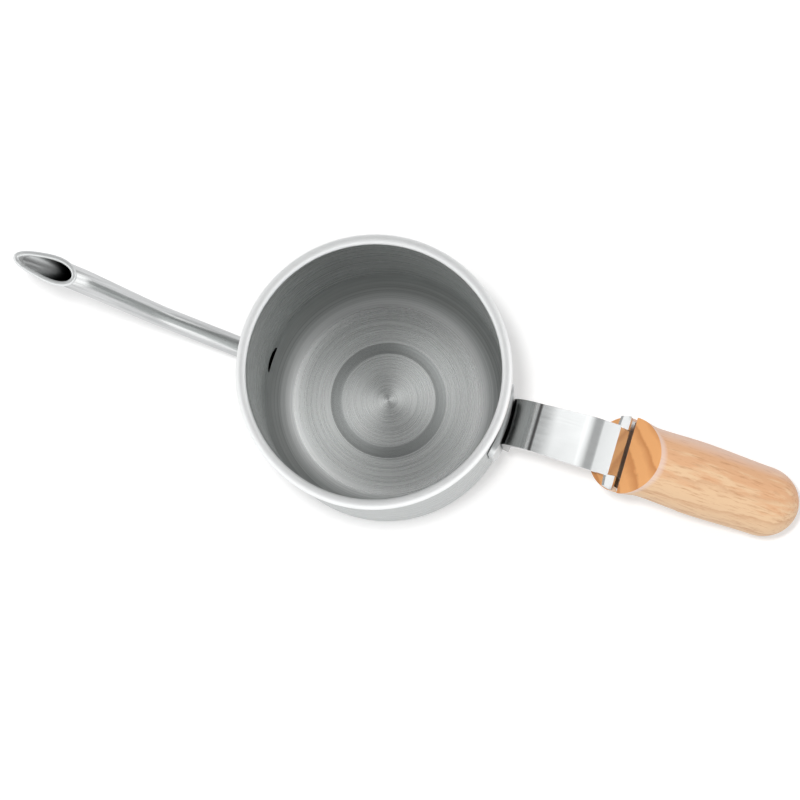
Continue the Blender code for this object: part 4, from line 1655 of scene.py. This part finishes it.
def by_ray(add: Adder, other: Node, mirrored: Node, seen: Node) -> Node:
    """Pick a shader by the ray that meets it.

    Args:
        add: Adds a node to the tree.
        other: The shader that lights the rest of the scene.
        mirrored: The shader that shows in a mirror or through glass.
        seen: The shader that the camera sees.

    Returns:
        The mixed shader.
    """
    path = add("ShaderNodeLightPath").outputs
    first = add("ShaderNodeMath", (path["Is Camera Ray"], path["Is Glossy Ray"]), operation="MAXIMUM")
    either = add("ShaderNodeMath", (first, path["Is Transmission Ray"]), operation="MAXIMUM")
    shiny = add("ShaderNodeMixShader", (either, other, mirrored))
    return add("ShaderNodeMixShader", (path["Is Camera Ray"], shiny, seen))


@dataclass
class Studio:
    """A pale floor, plain soft light and the camera of the photograph.

    Places in the room are given by how far a direction leans across the picture and up it. A pair is where a
    mask starts and where it ends.
    """
    camera_place: Vector = field(default_factory=lambda: Vector((0.13446, -0.14166, 1.41649)))
    right: Vector = field(default_factory=lambda: Vector((0.957584, 0.281832, -0.059954)))
    down: Vector = field(default_factory=lambda: Vector((0.273241, -0.954238, -0.121498)))
    forward: Vector = field(default_factory=lambda: Vector((-0.091453, 0.099963, -0.990779)))
    lens: float = 185.45
    sensor: float = 36.0
    floor_half: float = 6.0
    white: str = "#FFFFFF"
    floor_white: str = "#F2F2F2"
    mirrored_white: str = "#BCBCBD"
    seen_white: str = "#E7E7E7"
    floor_glow: float = 0.3
    mirrored_glow: float = 0.4
    panel_across: tuple[Point2, Point2] = ((-0.058, -0.015), (0.04, 0.38))
    panel_up: tuple[Point2, Point2] = ((-0.07, 0.03), (0.2, 0.36))
    panel_glow: float = 1.9
    overhead_glow: float = 0.5
    walls: Point2 = (0.745, 0.605)
    side_glow: float = 0.92
    far: Point2 = (0.25, 0.6)
    far_dark: float = 0.6
    photographer: Point2 = (0.03, -0.15)
    photographer_edge: Point2 = (0.12, 0.36)
    photographer_glow: float = 0.15
    lit: float = 0.6
    lamp_place: Point3 = (0.02, -0.08, 1.45)
    lamp_size: float = 0.09
    lamp_watts: float = 8.5

    def place_camera(self) -> None:
        """Set the camera where the photograph was taken."""
        data = bpy.data.cameras.new("photo_camera")
        data.lens = self.lens
        data.sensor_width = self.sensor
        camera = link(bpy.data.objects.new("photo_camera", data))
        turn = Matrix((self.right, -self.down, -self.forward)).transposed()
        camera.matrix_world = Matrix.Translation(self.camera_place) @ turn.to_4x4()
        bpy.context.scene.camera = camera

    def room(self, add: Adder) -> Node:
        """The room that the steel mirrors: a lit panel overhead in a dim ceiling, the dark photographer beside
        it, and pale walls that are dimmer above the picture.

        Args:
            add: Adds a node to the world's tree.

        Returns:
            The brightness in the ray's direction.
        """
        ray = add("ShaderNodeTexCoord").outputs["Generated"]
        level = [Vector((axis.x, axis.y, 0)).normalized() for axis in (self.right, -self.down)]
        a, b = (add("ShaderNodeVectorMath", (ray, axis), operation="DOT_PRODUCT").outputs["Value"]
                for axis in level)
        z = add("ShaderNodeSeparateXYZ", (ray,)).outputs["Z"]
        panel = add("ShaderNodeMath", (window(add, a, *self.panel_across, Ease.SOFT),
                                       window(add, b, *self.panel_up, Ease.SOFT)), operation="MULTIPLY")
        bright = add("ShaderNodeMath", (panel, self.panel_glow, self.overhead_glow), operation="MULTIPLY_ADD")
        lean = add("ShaderNodeCombineXYZ", (a, b))
        away = add("ShaderNodeVectorMath", (lean, (*self.photographer, 0)), operation="DISTANCE")
        beside, low, dimmed = (add("ShaderNodeMapRange", fade, interpolation_type=Ease.SOFT.value) for fade in (
            (away.outputs["Value"], *self.photographer_edge, self.photographer_glow, 1.0),
            (z, *self.walls, 0.0, self.side_glow), (b, *self.far, 1.0, 1.0 - self.far_dark)))
        above = add("ShaderNodeMath", (bright, beside, low), operation="MULTIPLY_ADD")
        return add("ShaderNodeMath", (above, dimmed), operation="MULTIPLY")

    def lay_floor(self) -> None:
        """Lay a white floor that keeps the pot's shadow."""
        shape = bmesh.new()
        bmesh.ops.create_grid(shape, x_segments=1, y_segments=1, size=self.floor_half)
        material, add, shader = new_material("white_paper")
        nodes = material.node_tree.nodes
        nodes.remove(shader)
        shaders = [add("ShaderNodeBsdfDiffuse", {"Color": linear(self.floor_white)})]
        for paper, glow in ((self.mirrored_white, self.mirrored_glow), (self.seen_white, self.floor_glow)):
            diffuse = add("ShaderNodeBsdfDiffuse", {"Color": linear(paper)})
            light = add("ShaderNodeEmission", {"Color": linear(self.white), "Strength": glow})
            shaders.append(add("ShaderNodeAddShader", (diffuse, light)))
        fill(nodes["Material Output"], {"Surface": by_ray(add, *shaders)})
        mesh_piece("floor", shape, material)

    def light(self) -> None:
        """Light the pot from a pale room, and from one small soft lamp up and left of the camera that the steel
        doesn't mirror."""
        world = bpy.data.worlds.new("pale_room")
        bpy.context.scene.world = world
        world.use_nodes = True
        world.node_tree.nodes.clear()
        add = partial(add_node, world.node_tree)
        shaders = [add("ShaderNodeBackground", {"Color": linear(self.white), "Strength": strength})
                   for strength in (self.lit, self.room(add), 1.0)]
        add("ShaderNodeOutputWorld", {"Surface": by_ray(add, *shaders)})
        lamp = bpy.data.lights.new("soft_lamp", "AREA")
        lamp.size = self.lamp_size
        lamp.energy = self.lamp_watts
        place = Vector(self.lamp_place)
        holder = link(bpy.data.objects.new("soft_lamp", lamp))
        holder.visible_glossy = False
        holder.location = place
        holder.rotation_euler = (-place).to_track_quat("-Z", "Y").to_euler()

    def set_up(self) -> None:
        """Set up the camera, the floor and the light."""
        self.place_camera()
        self.lay_floor()
        self.light()
        bpy.context.scene.view_settings.view_transform = "Standard"


def put_in_place(piece: Object, slot: str, *nodes: str) -> None:
    """Let a finished piece ride on the pot and stand for its CAD nodes.

    Args:
        piece: The finished piece.
        slot: Not used.
        nodes: The CAD nodes it stands for.
    """
    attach(piece, BODY)
    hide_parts(*nodes)
    LOG.info("%s: %d faces, stands for %s", piece.name, len(piece.data.polygons), ", ".join(nodes))


def main() -> None:
    """Build the studio and every piece of the pot."""
    logging.basicConfig(level=logging.INFO, format="%(message)s")
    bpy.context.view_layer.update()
    Studio().set_up()
    turning, sweeping = turning_tree(), sweeping_tree()
    row = pin_row_tree(turning)
    spun, buffed, weld_metal = SpunSteel().material(), BuffedSteel().material(), WeldSteel().material()
    # strap steel with painted shade on its arched root and a painted shade line along its crease
    strap_steel_painted_shade = BuffedSteel("strap_steel_with_painted_shade", painted_shade_start=47 * MM, painted_shade_end=55 * MM,
                         crease_shade_at=54.4 * MM).material()
    drawn = BuffedSteel("drawn_steel_tube", "#FAFBFB", "#A6A8A8", roughness=0.24,
                        streaks=(40.0, 1300.0, 40.0)).material()
    # bore steel painted black from the root outwards as painted shade inside the tube; the hole's cut face in
    # the cup gets it too
    bore_steel_painted_shade = BuffedSteel("bore_with_painted_shade", "#C6C8C8", "#A4A6A6", painted_shade="#080807", painted_shade_share=1.0,
                        painted_shade_start=-108 * MM, painted_shade_end=-119 * MM, roughness=0.36).material()
    satin = BuffedSteel("satin_lip", "#EEF0F0", "#E4E6E6", roughness=0.5).material()
    # plate steel with painted shade on the middle of its outer face, by the strap's root
    plate = BuffedSteel("ground_plate_with_painted_shade", "#ECEEEE", "#DEE0E0", roughness=0.45, painted_shade_start=44.6 * MM,
                        painted_shade_end=43.7 * MM).material()
    route = SpoutRoute()
    grip = GripFrame()
    wood = OiledBeech(origin=grip.face, drop=grip.drop, slant=grip.slant).material()
    pins = BlindPins(grip)
    cup = CupShell().build(turning, route.hole(bore_steel_painted_shade), spun)
    put_in_place(cup, "brushed_steel", "cup_body")
    put_in_place(GooseneckSpout(route).build(sweeping, drawn, bore_steel_painted_shade, satin), "polished_steel", "spout_tube")
    put_in_place(RootWeld(route).build(sweeping, weld_metal), "weld_steel", "spout_weld_bead")
    put_in_place(SaddlePlate().build(plate), "polished_steel", "handle_saddle")
    put_in_place(StrapBracket(grip).build(pins.holes(), strap_steel_painted_shade), "polished_steel", "handle_strap")
    put_in_place(TurnedGrip(grip).build(turning, pins.holes(), wood), "oiled_beech", "wooden_grip")
    put_in_place(pins.build(row, buffed), "brushed_steel", "grip_pin_front", "grip_pin_rear")


if __name__ == "__main__":
    main()
